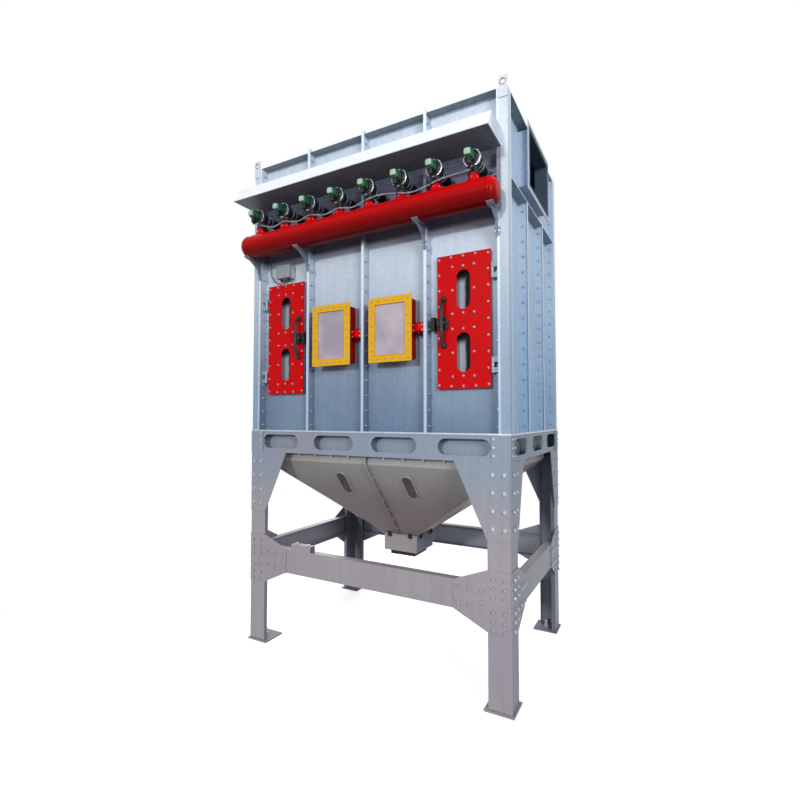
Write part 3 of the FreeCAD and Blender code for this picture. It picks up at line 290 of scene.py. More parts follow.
def duct_sheet(name):
    """Galvanised duct: plain zinc outside, and the inside of its passage darker as painted shade."""
    make = Finish(name)
    beside = make.below(make.maths("ABSOLUTE", make.axis(1)), 0.2560, 0.2585)
    middle = make.below(make.maths("ABSOLUTE", make.axis(2) - DUCT_LEVEL), 0.1760, 0.1785)
    inside = beside * middle
    cells = make.crystals(70.0)
    clouds = make.noise(9.0, 5.0)
    # Painted shade: the inside of the passage darker.
    base = make.mix(inside, colour(184, 200, 216), colour(70, 88, 106))
    return make.surface(
        Base_Color=make.tint(base, 0.92 + (cells - 0.5) * 0.10 + clouds * 0.16),
        Metallic=0.08 - inside * 0.05, Roughness=0.42 + inside * 0.4 + cells * 0.06,
        Specular_IOR_Level=0.16, Normal=make.bump(cells * 0.02 + clouds * 0.1, 0.002))


def gloss_paint(name, tone, shade, dusty, rough, peel, underside_shade=0.0):
    """Sprayed gloss paint: slight cloudiness, dust that dulls it, and an orange-peel skin. Painted
    shade darkens the air header's underside: what lies between 2.70 and 2.79 m, fading to 2.925 m."""
    make = Finish(name)
    clouds = make.noise(3.2, 4.0)
    dust = make.step(make.noise(38.0, 6.0, rough=0.65), 0.52, 0.78)
    base = make.mix(clouds * 0.6, tone, shade)
    base = make.mix(dust * 0.05, base, dusty)
    height = make.axis(2)
    # Painted shade: the air header's underside darker, as far as the last argument says.
    painted_under_shade = make.step(height, 2.60, 2.70) * make.below(height, 2.790, 2.925)
    return make.surface(
        Base_Color=make.tint(base, 1.0 - painted_under_shade * underside_shade),
        Roughness=rough + dust * 0.16 + (clouds - 0.5) * 0.06,
        Specular_IOR_Level=0.04, Coat_Weight=0.08 - dust * 0.04, Coat_Roughness=0.16,
        Normal=make.bump(make.noise(260.0, 2.0), peel))


def moulded_plastic(name, tone, worn, rough):
    """Moulded plastic or rubber: fine pitted skin, with paler rubbed patches."""
    make = Finish(name)
    rubbed = make.step(make.noise(24.0, 5.0), 0.50, 0.75)
    pits = make.noise(700.0, 2.0)
    return make.surface(
        Base_Color=make.mix(rubbed * 0.4, tone, worn),
        Roughness=rough + (pits - 0.5) * 0.12 - rubbed * 0.06,
        Specular_IOR_Level=0.3, Normal=make.bump(pits, 0.0004))


def cast_metal(name, tone, worn, metallic, rough):
    """Cast or plated metal: grainy skin, brighter where the grain is high."""
    make = Finish(name)
    grain = make.noise(320.0, 4.0)
    high = make.step(make.noise(60.0, 4.0), 0.48, 0.70)
    return make.surface(
        Base_Color=make.mix(high * 0.5, tone, worn), Metallic=metallic,
        Roughness=rough + (grain - 0.5) * 0.2,
        Specular_IOR_Level=0.3, Normal=make.bump(grain, 0.0006))


def brushed_panel(name):
    """Burst panel: thin satin sheet with drawn lines across it and two tones in soft clouds."""
    make = Finish(name)
    lines = make.noise(40.0, 3.0, make.stretched((2.0, 1.0, 30.0)))
    clouds = make.noise(5.0, 3.0)
    base = make.mix(make.step(clouds, 0.35, 0.70), colour(150, 142, 156), colour(176, 166, 174))
    return make.surface(
        Base_Color=make.tint(base, 1.0 + (lines - 0.5) * 0.10), Metallic=0.15,
        Roughness=0.40 + (lines - 0.5) * 0.15,
        Specular_IOR_Level=0.3, Normal=make.bump(lines, 0.0005))


def woven_sheath(name, tone, worn):
    """Cable sheath: rubbed patches over a fine grain."""
    make = Finish(name)
    rubbed = make.noise(30.0, 4.0)
    return make.surface(
        Base_Color=make.mix(make.step(rubbed, 0.40, 0.70), tone, worn),
        Roughness=0.42 + rubbed * 0.16,
        Normal=make.bump(make.noise(500.0, 1.0), 0.0003))


def hinge_and_keeper(name):
    """Fixed halves of the door fittings: zinc plated hinges at the sides, black keepers between."""
    make = Finish(name)
    beside = make.step(make.maths("ABSOLUTE", make.axis(0)), 0.70, 0.72)
    grain = make.noise(320.0, 4.0)
    base = make.mix(beside, colour(20, 21, 23), colour(140, 156, 172))
    return make.surface(
        Base_Color=make.tint(base, 0.9 + grain * 0.2), Metallic=beside * 0.2,
        Roughness=0.42 + (grain - 0.5) * 0.2, Specular_IOR_Level=0.2, Normal=make.bump(grain, 0.0005))


def pan_sheet(name):
    """Inner door sheet behind the oblong openings: zinc on the left of each, and black painted
    shadow on the right and at the top."""
    make = Finish(name)
    across, height = make.axis(0), make.axis(2)
    beside = (make.maths("ABSOLUTE", across) - DOOR_X) * make.maths("SIGN", across)
    upper = make.step(height, 2.420, 2.470)
    lower = make.step(height, 2.045, 2.095) * make.below(height, 2.130, 2.160)
    clouds = make.noise(14.0, 4.0)
    # Painted shadow: black on the right of each opening and along the top, with a cloudy edge.
    painted_shadow = make.maths("MAXIMUM", make.step(beside + (clouds - 0.5) * 0.02, -0.012, 0.006), upper + lower)
    painted_shadow = painted_shadow * make.step(0.0 - make.faces(1), 0.50, 0.80)
    base = make.mix(painted_shadow, colour(152, 158, 172), colour(20, 22, 26))
    return make.surface(
        Base_Color=make.tint(base, 0.85 + clouds * 0.3), Metallic=0.05, Roughness=0.5 + painted_shadow * 0.2,
        Specular_IOR_Level=0.16, Normal=make.bump(clouds, 0.001))


FINISHES = {
    "galvanised_sheet": housing_zinc(),
    # In each two-tone zinc, the colour after the levels is painted shade on faces to the sides and at the
    # back.
    "galvanised_frame": two_tone_zinc(
        "galvanised_frame", colour(156, 150, 155), colour(134, 147, 163), colour(146, 140, 152),
        (0.75, 1.45), colour(96, 106, 122), 0.10, 0.06, 0.3),
    "hopper_sheet": two_tone_zinc(
        "hopper_sheet", colour(126, 114, 115), colour(160, 159, 160), colour(150, 138, 130),
        (0.85, 1.35), colour(96, 98, 106), 0.10, 0.07, 0.6),
    # Red paint: its last number is the painted shade under the air header.
    "red_paint": gloss_paint(
        "red_paint", colour(204, 3, 8), colour(180, 2, 8), colour(150, 50, 50), 0.34, 0.0004, 0.66),
    "yellow_paint": gloss_paint(
        "yellow_paint", colour(232, 178, 30), colour(204, 146, 22), colour(226, 206, 150), 0.36, 0.0004),
    "membrane_sheet": brushed_panel("membrane_sheet"),
    "black_fittings": moulded_plastic("black_fittings", colour(18, 19, 21), colour(52, 52, 56), 0.42),
    "valve_castings": cast_metal("valve_castings", colour(30, 33, 35), colour(64, 70, 72), 0.30, 0.42),
    "green_coils": moulded_plastic("green_coils", colour(22, 84, 54), colour(64, 128, 94), 0.36),
    "black_rubber": moulded_plastic("black_rubber", colour(20, 20, 21), colour(52, 52, 54), 0.62),
    "grey_plastic": moulded_plastic("grey_plastic", colour(176, 182, 190), colour(206, 210, 214), 0.48),
    "grey_cable": woven_sheath("grey_cable", colour(120, 118, 130), colour(160, 158, 168)),
    "black_lead": woven_sheath("black_lead", colour(24, 24, 26), colour(58, 58, 62)),
}
BRIGHT_ZINC = cast_metal("bright_zinc", colour(172, 178, 188), colour(206, 210, 218), 0.45, 0.34)
DULL_ZINC = cast_metal("dull_zinc", colour(150, 148, 154), colour(176, 176, 182), 0.35, 0.44)
MACHINED = cast_metal("machined_alloy", colour(150, 153, 160), colour(196, 198, 204), 0.92, 0.26)
MINT_CAP = moulded_plastic("mint_cap", colour(160, 194, 172), colour(206, 224, 208), 0.40)
WELD = cast_metal("weld_metal", colour(112, 114, 120), colour(150, 152, 158), 0.4, 0.5)
SMOKED_LID = moulded_plastic("smoked_lid", colour(140, 148, 156), colour(176, 182, 188), 0.22)
OWN_FINISHES = {
    "duct_outlet": duct_sheet("duct_painted_shade"),
    "door_fittings": hinge_and_keeper("hinges_and_keepers"),
    "door_left_pan": pan_sheet("door_pans"),
    # The vent boxes take a darker copy of the red paint: painted shade on their sides.
    "vent_boxes": gloss_paint(
        "shaded_red", colour(138, 5, 16), colour(116, 4, 14), colour(120, 50, 50), 0.36, 0.0004),
    "hopper_windows": moulded_plastic("window_covers", colour(54, 32, 34), colour(88, 60, 60), 0.34),
    "lifting_lugs": cast_metal("lug_zinc", colour(206, 214, 222), colour(226, 232, 238), 0.10, 0.46),
}
OWN_FINISHES["door_right_pan"] = OWN_FINISHES["door_left_pan"]


# Free cords. Their points are the routes of the solids, in metres.

VALVE_CABLE = [
    (-0.808, -0.788, 2.996), (-0.768, -0.789, 2.989), (-0.715, -0.789, 2.968),
    (-0.655, -0.788, 2.953), (-0.606, -0.789, 2.966), (-0.560, -0.790, 2.979),
    (-0.505, -0.789, 2.963), (-0.440, -0.788, 2.949), (-0.382, -0.789, 2.961),
    (-0.333, -0.790, 2.977), (-0.280, -0.789, 2.962), (-0.215, -0.788, 2.948),
    (-0.150, -0.789, 2.957), (-0.100, -0.790, 2.972), (-0.050, -0.789, 2.959),
    (0.005, -0.788, 2.948), (0.060, -0.789, 2.959), (0.108, -0.790, 2.973),
    (0.165, -0.790, 2.982), (0.222, -0.790, 2.984), (0.278, -0.789, 2.977),
    (0.335, -0.790, 2.966), (0.392, -0.789, 2.953), (0.452, -0.788, 2.949),
    (0.508, -0.789, 2.957), (0.562, -0.790, 2.971), (0.615, -0.790, 2.982),
    (0.668, -0.790, 2.986), (0.722, -0.790, 2.987), (0.770, -0.789, 2.989),
    (0.808, -0.788, 2.994)]
CONTROLLER_LEAD = [
    (-0.694, -0.626, 2.630), (-0.696, -0.624, 2.619), (-0.706, -0.620, 2.609),
    (-0.724, -0.616, 2.6045), (-0.748, -0.613, 2.605), (-0.776, -0.611, 2.612),
    (-0.803, -0.610, 2.627), (-0.827, -0.609, 2.650), (-0.843, -0.609, 2.680),
    (-0.850, -0.610, 2.714), (-0.848, -0.612, 2.750), (-0.840, -0.617, 2.785),
    (-0.834, -0.627, 2.822), (-0.834, -0.641, 2.860), (-0.840, -0.656, 2.900),
    (-0.848, -0.674, 2.938), (-0.854, -0.696, 2.966), (-0.855, -0.722, 2.984),
    (-0.849, -0.743, 2.991), (-0.837, -0.755, 2.994)]


def cord_along(name, points, diameter, node):
    """A round cord: a smooth NURBS line near its points, with a round section."""
    line = bpy.data.curves.new(name, "CURVE")
    line.dimensions = "3D"
    line.bevel_depth = diameter / 2
    line.bevel_resolution = 4
    line.resolution_u = 6
    line.use_fill_caps = True
    spline = line.splines.new("NURBS")
    spline.points.add(len(points) - 1)
    spline.points.foreach_set("co", np.column_stack([points, np.ones(len(points))]).ravel())
    spline.order_u = 3
    spline.use_endpoint_u = True
    cord = bpy.data.objects.new(name, line)
    scene.collection.objects.link(cord)
    line.materials.append(FINISHES[node[1]])
    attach(cord, "housing")
    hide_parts(node[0])
    return cord


cord_along("cable_over_tank", VALVE_CABLE, 0.010, ("valve_cable", "grey_cable"))
cord_along("lead_to_controller", CONTROLLER_LEAD, 0.006, ("controller_lead", "black_lead"))


# Shapes: whole arrays of points, and the faces between them.

class Shape:
    """Points, and blocks of faces that index them."""

    def __init__(self, points, faces):
        self.points = np.asarray(points, float)
        self.faces = faces

    def __add__(self, other):
        moved = [block + len(self.points) for block in other.faces]
        return Shape(np.vstack([self.points, other.points]), self.faces + moved)

    def at(self, frames):
        """Repeat the shape: each copy's point is its place plus its turn times the point."""
        points = np.einsum("kij,nj->kni", frames[:, :, :3], self.points) + frames[:, None, :, 3]
        first = np.arange(len(frames)) * len(self.points)
        faces = [(block[None] + first[:, None, None]).reshape(-1, block.shape[1]) for block in self.faces]
        return Shape(points.reshape(-1, 3), faces)


def skin(rings, closed=False):
    """A skin over rings of points, rings[i, j]: a face between each point and its neighbours.
    The last ring meets the first one where it is closed, and else each end has a flat cap. The
    faces are turned over where the volume, the sum of a.(b x c) / 6, comes out below zero."""
    rings = np.asarray(rings, float)
    index = np.arange(rings.shape[0] * rings.shape[1]).reshape(rings.shape[:2])
    above = np.roll(index, -1, axis=0) if closed else index[1:]
    below = index if closed else index[:-1]
    sides = np.stack([below, np.roll(below, -1, axis=1), np.roll(above, -1, axis=1), above], axis=-1)
    faces = [sides.reshape(-1, 4)]
    if not closed:
        faces += [index[:1, ::-1], index[-1:]]
    points = rings.reshape(-1, 3)
    centred = points - points.mean(axis=0)
    volume = 0.0
    for block in faces:
        a = centred[block[:, :1]]
        volume += np.sum(a * np.cross(centred[block[:, 1:-1]], centred[block[:, 2:]]))
    if volume < 0:
        faces = [block[:, ::-1] for block in faces]
    return Shape(points, faces)


def turned(profile, around, lobes=0, lobe=0.0, closed=False):
    """A turned piece: x = r cos a, y = r sin a, z = h for each (r, h) of the profile; with lobes,
    r grows by lobe * cos(lobes * a). A closed profile makes a ring."""
    radius, height = np.asarray(profile, float).T
    angle = np.linspace(0.0, 2 * np.pi, around, endpoint=False)
    reach = radius[:, None] * (1 + lobe * np.cos(lobes * angle))
    return skin(np.stack([reach * np.cos(angle), reach * np.sin(angle),
                          np.broadcast_to(height[:, None], reach.shape)], axis=-1), closed)


def loop(width, depth, corner, steps=4):
    """A rounded rectangle's points: four corner centres plus corner * (cos a, sin a)."""
    angle = np.linspace(0.0, np.pi / 2, steps + 1)
    turns = angle + np.arange(4)[:, None] * np.pi / 2
    across = np.array([1, -1, -1, 1])[:, None] * (width / 2 - corner)
    along = np.array([1, 1, -1, -1])[:, None] * (depth / 2 - corner)
    return np.stack([across + corner * np.cos(turns), along + corner * np.sin(turns)], axis=-1).reshape(-1, 2)


def moulded(width, depth, profile, corner, steps=4):
    """A moulded block: rounded rectangles, each drawn in by its inset, at its height."""
    rings = [np.column_stack([loop(width - 2 * inset, depth - 2 * inset, max(corner - inset, 0.0004), steps),
                              np.full(4 * (steps + 1), height)]) for inset, height in profile]
    return skin(rings)


def swept(path, side, wide, thick, around=12, closed=False):
    """An oval carried along a path: point = path + wide cos(a) side + thick sin(a) (side x ahead)."""
    path = np.asarray(path, float)
    side = np.asarray(side, float)
    if closed:
        ahead = np.roll(path, -1, axis=0) - np.roll(path, 1, axis=0)
    else:
        ahead = np.gradient(path, axis=0)
    over = np.cross(side, ahead)
    over /= np.linalg.norm(over, axis=1, keepdims=True)
    angle = np.linspace(0.0, 2 * np.pi, around, endpoint=False)[None, :, None]
    return skin(path[:, None] + wide * np.cos(angle) * side + thick * np.sin(angle) * over[:, None], closed)


def framed(half_x, half_y, section):
    """A moulding round a rectangle, mitred: each section point (u, v) stands at
    (+-(half_x + u), +-(half_y + u), v)."""
    section = np.asarray(section, float)
    ways = np.array([(1, 1), (-1, 1), (-1, -1), (1, -1)])
    across = ways[:, :1] * (half_x + section[:, 0])
    along = ways[:, 1:] * (half_y + section[:, 0])
    return skin(np.stack([across, along, np.broadcast_to(section[:, 1], across.shape)], axis=-1), True)


def bead(start, end, radius, ripple=0.14, pitch=0.005, around=8):
    """A weld bead from start to end: a round section whose radius swings with the runs of weld,
    radius * (1 + ripple * sin), once every pitch."""
    start, end = np.asarray(start, float), np.asarray(end, float)
    length = np.linalg.norm(end - start)
    count = max(int(length / (pitch / 2)), 4)
    share = np.linspace(0.0, 1.0, count)[:, None]
    swell = radius * (1 + ripple * np.sin(share[:, 0] * length / pitch * 2 * np.pi))
    swell[[0, -1]] *= 0.3
    straight = (end - start) / length
    helper = np.array([0.0, 0.0, 1.0]) if abs(straight[2]) < 0.9 else np.array([0.0, 1.0, 0.0])
    first = np.cross(helper, straight)
    first /= np.linalg.norm(first)
    second = np.cross(straight, first)
    angle = np.linspace(0.0, 2 * np.pi, around, endpoint=False)
    circle = np.cos(angle)[:, None] * first + np.sin(angle)[:, None] * second
    return skin((start + share * (end - start))[:, None] + swell[:, None, None] * circle[None])


def spots(xs, ys, zs):
    """Every place whose x, y and z are in the three lists."""
    return np.stack(np.meshgrid(xs, ys, zs, indexing="ij"), axis=-1).reshape(-1, 3)


def frames_at(places, outward, spin=None):
    """A frame at each place, its Z outward, turned about it by spin, or by chance."""
    places = np.atleast_2d(np.asarray(places, float))
    up = np.asarray(outward, float)
    up = up / np.linalg.norm(up)
    helper = np.array([0.0, 0.0, 1.0]) if abs(up[2]) < 0.9 else np.array([0.0, 1.0, 0.0])
    right = np.cross(helper, up)
    right /= np.linalg.norm(right)
    over = np.cross(up, right)
    angle = chance.uniform(0, np.pi / 3, len(places)) if spin is None else np.full(len(places), spin)
    cos, sin = np.cos(angle)[:, None], np.sin(angle)[:, None]
    turn = np.stack([cos * right + sin * over, cos * over - sin * right,
                     np.broadcast_to(up, places.shape)], axis=2)
    return np.concatenate([turn, places[:, :, None]], axis=2)


WASHER_REACH = 1.38
WASHER_THICK = 0.14


def on_washer(flats, high, above):
    """A hexagon on a round washer, and round rings over it, each a share of half the flats at its
    height. The hexagon's radius is half the flats over the cosine of the angle from the nearest
    side's middle. Heights are over the washer, whose sizes are shares of the flats."""
    angle = np.arange(12) * np.pi / 6
    from_side = (angle + np.pi / 6) % (np.pi / 3) - np.pi / 6
    hexagon = flats / 2 / np.cos(from_side)
    disc = np.full(12, flats / 2)
    washer = flats * WASHER_THICK
    radii = np.array([disc * WASHER_REACH, disc * WASHER_REACH, hexagon, hexagon]
                     + [disc * share for share, height in above])
    heights = np.array([-0.001, washer, washer, washer + high] + [washer + height for share, height in above])
    return skin(np.stack([radii * np.cos(angle), radii * np.sin(angle),
                          np.broadcast_to(heights[:, None], radii.shape)], axis=-1))


def bolt_head(flats, high):
    """A hexagon bolt head on its washer, its top edge taken off."""
    return on_washer(flats, high * 0.86, [(0.92, high)])


def stud_end(flats, high, reach):
    """A nut on its washer with a stud's end through it, the stud stepped in and out by its threads."""
    levels = np.linspace(high, reach - flats * WASHER_THICK, 5)
    return on_washer(flats, high, list(zip((0.62, 0.52, 0.62, 0.52, 0.58), levels)))


def joined(shapes):
    """Several shapes as one, in their order."""
    whole = shapes[0]
    for shape in shapes[1:]:
        whole = whole + shape
    return whole


def add(name, shape, slot, finish=None, body="housing"):
    """Make a mesh object of a shape on its body, in its slot's finish unless it has its own."""
    mesh = bpy.data.meshes.new(name)
    mesh.from_pydata(shape.points.tolist(), [], [face for block in shape.faces for face in block.tolist()])
    mesh.polygons.foreach_set("use_smooth", np.ones(len(mesh.polygons), bool))
    mesh.set_sharp_from_angle(angle=math.radians(38))
    mesh.materials.append(finish or FINISHES[slot])
    mesh.update()
    piece = bpy.data.objects.new(name, mesh)
    scene.collection.objects.link(piece)
    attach(piece, body)
    return piece


# Finishes on the solids that stay as they are.

for name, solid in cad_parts.items():
    for place in solid.material_slots:
        place.material = FINISHES[place.material.name.split(".")[0]]
for name, finish in OWN_FINISHES.items():
    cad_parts[name].material_slots[0].material = finish


# Fasteners, by the width across flats, the height of the hexagon and, on a stud, its reach.

FRAME_BOLT = bolt_head(0.017, 0.008)
PANEL_BOLT = bolt_head(0.013, 0.006)
PANEL_STUD = stud_end(0.013, 0.007, 0.018)
DOOR_BOLT = bolt_head(0.0105, 0.005)
CLAMP_BOLT = bolt_head(0.010, 0.006)
SMALL_BOLT = bolt_head(0.009, 0.004)
TINY_BOLT = bolt_head(0.0065, 0.0035)
COLLAR_BOLT = bolt_head(0.0055, 0.003)
ANCHOR_STUD = stud_end(0.030, 0.016, 0.050)


# Bolts of the legs, gussets, braces and ring.

CORNERS = ((-1, -1), (1, -1), (1, 1), (-1, 1))

# The plates' outer faces along X and Y, from the middle.
PLATE_FACES = (0.980, 0.660)

# Columns are distances from the middle, and rows are levels.
FRONT_COLUMNS = (0.875, 0.943)
SIDE_COLUMNS = (0.560, 0.618)
UPPER_ROWS = (0.998, 1.098, 1.199, 1.300)
LOWER_ROWS = (0.447, 0.497, 0.547, 0.627, 0.675, 0.727)
FRONT_TIE_COLUMNS = (0.668, 0.740, 0.810)
FRONT_TIE_ROWS = (0.563, 0.655)
SIDE_TIE_COLUMNS = (0.392, 0.437, 0.486)
SIDE_TIE_ROWS = (0.545, 0.638)
FRONT_RING_COLUMNS = (0.882,)
SIDE_RING_COLUMNS = (0.590, 0.640)
RING_ROWS = (1.405, 1.450, 1.498)


def on_faces(columns, rows, axis):
    """Frames facing out on the two plate faces along an axis, mirrored about the middle."""
    made = []
    for way in (-1, 1):
        for hand in (-1, 1):
            places = spots(np.array(columns) * hand, (way * PLATE_FACES[axis],), rows)
            outward = (0, way, 0)
            if axis == 0:
                places = places[:, [1, 0, 2]]
                outward = (way, 0, 0)
            made.append(frames_at(places, outward))
    return np.concatenate(made)


upper_bolts = np.concatenate([
    on_faces(FRONT_COLUMNS, UPPER_ROWS, 1), on_faces(SIDE_COLUMNS, UPPER_ROWS, 0)])
add("upper_gusset_bolts", FRAME_BOLT.at(upper_bolts), "galvanised_frame", BRIGHT_ZINC)
front_bolts = np.concatenate([
    on_faces(FRONT_COLUMNS, LOWER_ROWS, 1), on_faces(FRONT_TIE_COLUMNS, FRONT_TIE_ROWS, 1)])
add("lower_front_bolts", FRAME_BOLT.at(front_bolts), "galvanised_frame", DULL_ZINC)
side_bolts = np.concatenate([
    on_faces(SIDE_COLUMNS, LOWER_ROWS, 0), on_faces(SIDE_TIE_COLUMNS, SIDE_TIE_ROWS, 0)])
add("lower_side_bolts", FRAME_BOLT.at(side_bolts), "galvanised_frame", BRIGHT_ZINC)
ring_bolts = np.concatenate([
    on_faces(FRONT_RING_COLUMNS, RING_ROWS, 1), on_faces(SIDE_RING_COLUMNS, RING_ROWS, 0)])
add("ring_bolts", PANEL_BOLT.at(ring_bolts), "galvanised_frame", BRIGHT_ZINC)


def round_sides(across, along, half_x, half_y, level):
    """Places along the four sides of a rectangle, front and rear first."""
    return np.vstack([spots(across, (-half_y, half_y), (level,)), spots((-half_x, half_x), along, (level,))])


hanging = round_sides(np.linspace(-0.84, 0.84, 13), np.linspace(-0.48, 0.48, 8), 0.931, 0.611, 1.364)
add("hopper_flange_bolts", PANEL_STUD.at(frames_at(hanging, (0, 0, -1))), "galvanised_frame", BRIGHT_ZINC)

LEDGE_SECTION = [
    (0.0, 0.0), (0.0045, 0.001), (0.0055, 0.004), (0.0050, 0.010), (0.0030, 0.0125), (0.0, 0.0125)]
LEDGE_LEVEL = 1.5175
ledge = framed(HALF_WIDTH, HALF_DEPTH, LEDGE_SECTION)
ledge.points[:, 2] += LEDGE_LEVEL
add("ring_top_ledge", ledge, "galvanised_frame", BRIGHT_ZINC)


# Bolts through the ribs' stems and the walls' end flanges: heads on one side, studs on the other.

STEM_HALF = 0.003
PANEL_ROWS = np.linspace(1.567, 2.946, 15)
PLENUM_ROWS = np.linspace(3.052, 3.446, 5)
ALL_ROWS = np.concatenate([PANEL_ROWS, PLENUM_ROWS])
FRONT_RIBS = (-0.456, 0.0, 0.456)
SIDE_RIBS = (-0.2165, 0.2165)
FRONT_END = 0.912
SIDE_END = 0.592
FRONT_STEMS = 0.622
SIDE_STEMS = 0.946


def rib_frames(ribs, depth, rows, flip, way):
    """Places on the flank, on the side way, of each rib; flip puts the ribs on the side walls."""
    made = []
    for rib in ribs:
        places = np.column_stack([np.full(len(rows), rib + way * STEM_HALF), np.full(len(rows), depth), rows])
        outward = (way, 0, 0)
        if flip:
            places = places[:, [1, 0, 2]]
            outward = (0, way, 0)
        made.append(frames_at(places, outward))
    return np.concatenate(made)


studs = []
heads = []
for face in (-1, 1):
    front = face * FRONT_STEMS
    side = face * SIDE_STEMS
    studs.append(rib_frames(FRONT_RIBS, front, ALL_ROWS, False, 1))
    heads.append(rib_frames(FRONT_RIBS, front, ALL_ROWS, False, -1))
    studs.append(rib_frames((-FRONT_END,), front, ALL_ROWS, False, 1))
    studs.append(rib_frames((FRONT_END,), front, ALL_ROWS, False, -1))
    rows = ALL_ROWS if face < 0 else PANEL_ROWS
    heads.append(rib_frames(SIDE_RIBS, side, rows, True, -1))
    heads.append(rib_frames(SIDE_RIBS, side, rows, True, 1))
    heads.append(rib_frames((SIDE_END,), side, ALL_ROWS, True, -1))
    heads.append(rib_frames((-SIDE_END,), side, ALL_ROWS, True, 1))
add("rib_studs", PANEL_STUD.at(np.concatenate(studs)), "galvanised_sheet", BRIGHT_ZINC)
add("rib_bolts", PANEL_BOLT.at(np.concatenate(heads)), "galvanised_sheet", BRIGHT_ZINC)


def clear_of(ribs, row):
    """The places of a row that stand 20 mm or more from every rib."""
    return row[np.min(np.abs(row[:, None] - np.array([ribs])), axis=1) > 0.02]


joint_x = clear_of(FRONT_RIBS, np.linspace(-0.86, 0.86, 19))
joint_y = clear_of(SIDE_RIBS, np.linspace(-0.54, 0.54, 12))
for name, level in (("plenum_joint_bolts", 3.003), ("housing_foot_bolts", 1.521)):
    places = round_sides(joint_x, joint_y, 0.948, 0.628, level)
    add(name, PANEL_BOLT.at(frames_at(places, (0, 0, 1))), "galvanised_sheet", BRIGHT_ZINC)


# Hopper: welds down its corners, the bolted seam, the window rims and the outlet clamps.

HOPPER_CORNER = np.array([0.915, 0.595])
THROAT_CORNER = np.array([0.1355, 0.1355])
WELD_RADIUS = 0.0035

# The front face comes back by the run as it drops by the fall.
HOPPER_RUN = 0.460
HOPPER_FALL = 0.550

welds = []
for corner in CORNERS:
    top = HOPPER_CORNER * corner
    welds.append(bead((*top, 1.308), (*(THROAT_CORNER * corner), 0.762), WELD_RADIUS))
    welds.append(bead((*top, 1.310), (*top, 1.362), WELD_RADIUS))
add("hopper_welds", joined(welds), "hopper_sheet", WELD)

slope = np.array([0.0, HOPPER_RUN, HOPPER_FALL]) / np.hypot(HOPPER_RUN, HOPPER_FALL)
seam = np.array([0.0, 0.149, 0.768]) + np.arange(0.06, 0.70, 0.105)[:, None] * slope
seam_frames = []
for face in (-1, 1):
    places = seam * (1, face, 1)
    seam_frames += [frames_at(places + (0.006 * way, 0, 0), (way, 0, 0)) for way in (-1, 1)]
add("seam_bolts", SMALL_BOLT.at(np.concatenate(seam_frames)), "hopper_sheet", BRIGHT_ZINC)


def window_rim():
    """A rim round an oblong window: its line is two half circles with centres 2 * 0.065 apart,
    and each point (u, v) of its section stands u out from the line and v over the hopper's face."""
    section = np.array([(-0.002, 0.006), (-0.002, 0.0105), (-0.0005, 0.0115), (0.0030, 0.0115),
                        (0.0040, 0.0105), (0.0040, -0.001), (0.0, -0.001)])
    angle = np.linspace(0.0, 2 * np.pi, 64, endpoint=False)
    outward = np.column_stack([np.cos(angle), np.sin(angle)])
    line = 0.0365 * outward
    line[:, 1] += 0.065 * np.sign(np.sin(angle))
    flat = line[:, None] + section[None, :, :1] * outward[:, None]
    lift = np.broadcast_to(section[None, :, 1:], (64, len(section), 1))
    return skin(np.concatenate([flat, lift], axis=2), True)


WINDOW_X = 0.260
WINDOW_LEVEL = 1.165
window_y = -0.135 - HOPPER_RUN * (WINDOW_LEVEL - 0.760) / HOPPER_FALL
window_places = [(side * WINDOW_X, window_y, WINDOW_LEVEL) for side in (-1, 1)]
window_frames = frames_at(window_places, (0.0, -HOPPER_FALL, -HOPPER_RUN), 0.0)
add("window_rims", window_rim().at(window_frames), "hopper_sheet", DULL_ZINC)

CLAMP_REACH = 0.143
CLAMP_STEP = 0.085
clamp = moulded(0.026, 0.024, [(0.002, -0.016), (0.0, -0.014), (0.0, 0.012), (0.003, 0.015)], 0.004, 2)
clamp_spots = [(x, y) for y in (-CLAMP_REACH, CLAMP_REACH) for x in (-CLAMP_STEP, CLAMP_STEP)]
clamp_spots += [(x, y) for x in (-CLAMP_REACH, CLAMP_REACH) for y in (-CLAMP_STEP, CLAMP_STEP)]
clamp_places = np.array([(x, y, 0.757) for x, y in clamp_spots])
clamp_bolts = CLAMP_BOLT.at(frames_at(clamp_places - (0, 0, 0.016), (0, 0, -1)))
add("outlet_clamps", clamp.at(frames_at(clamp_places, (0, 0, 1), 0.0)) + clamp_bolts, "black_fittings")


# Feet: anchor studs, the welds along the legs' outer faces, and the cleat's bolts.

anchor_places = spots((-0.895, 0.895), (-0.575, 0.575), (0.010,))
add("anchor_studs", ANCHOR_STUD.at(frames_at(anchor_places, (0, 0, 1))), "galvanised_frame", BRIGHT_ZINC)

FOOT_WELD_LEVEL = 0.0115
FOOT_WELD_RADIUS = 0.004
foot_welds = []
for x, y in CORNERS:
    for start, end in (((0.974, 0.6565), (0.842, 0.6565)), ((0.9765, 0.654), (0.9765, 0.522))):
        foot_welds.append(bead((x * start[0], y * start[1], FOOT_WELD_LEVEL),
                               (x * end[0], y * end[1], FOOT_WELD_LEVEL), FOOT_WELD_RADIUS))
add("foot_welds", joined(foot_welds), "galvanised_frame", WELD)

cleat_places = spots((-0.555, -0.455), (-0.630,), (0.730,))
add("cleat_bolts", FRAME_BOLT.at(frames_at(cleat_places, (0, 0, 1))), "galvanised_frame", BRIGHT_ZINC)


# Lifting lugs: a worn ring round each hole.

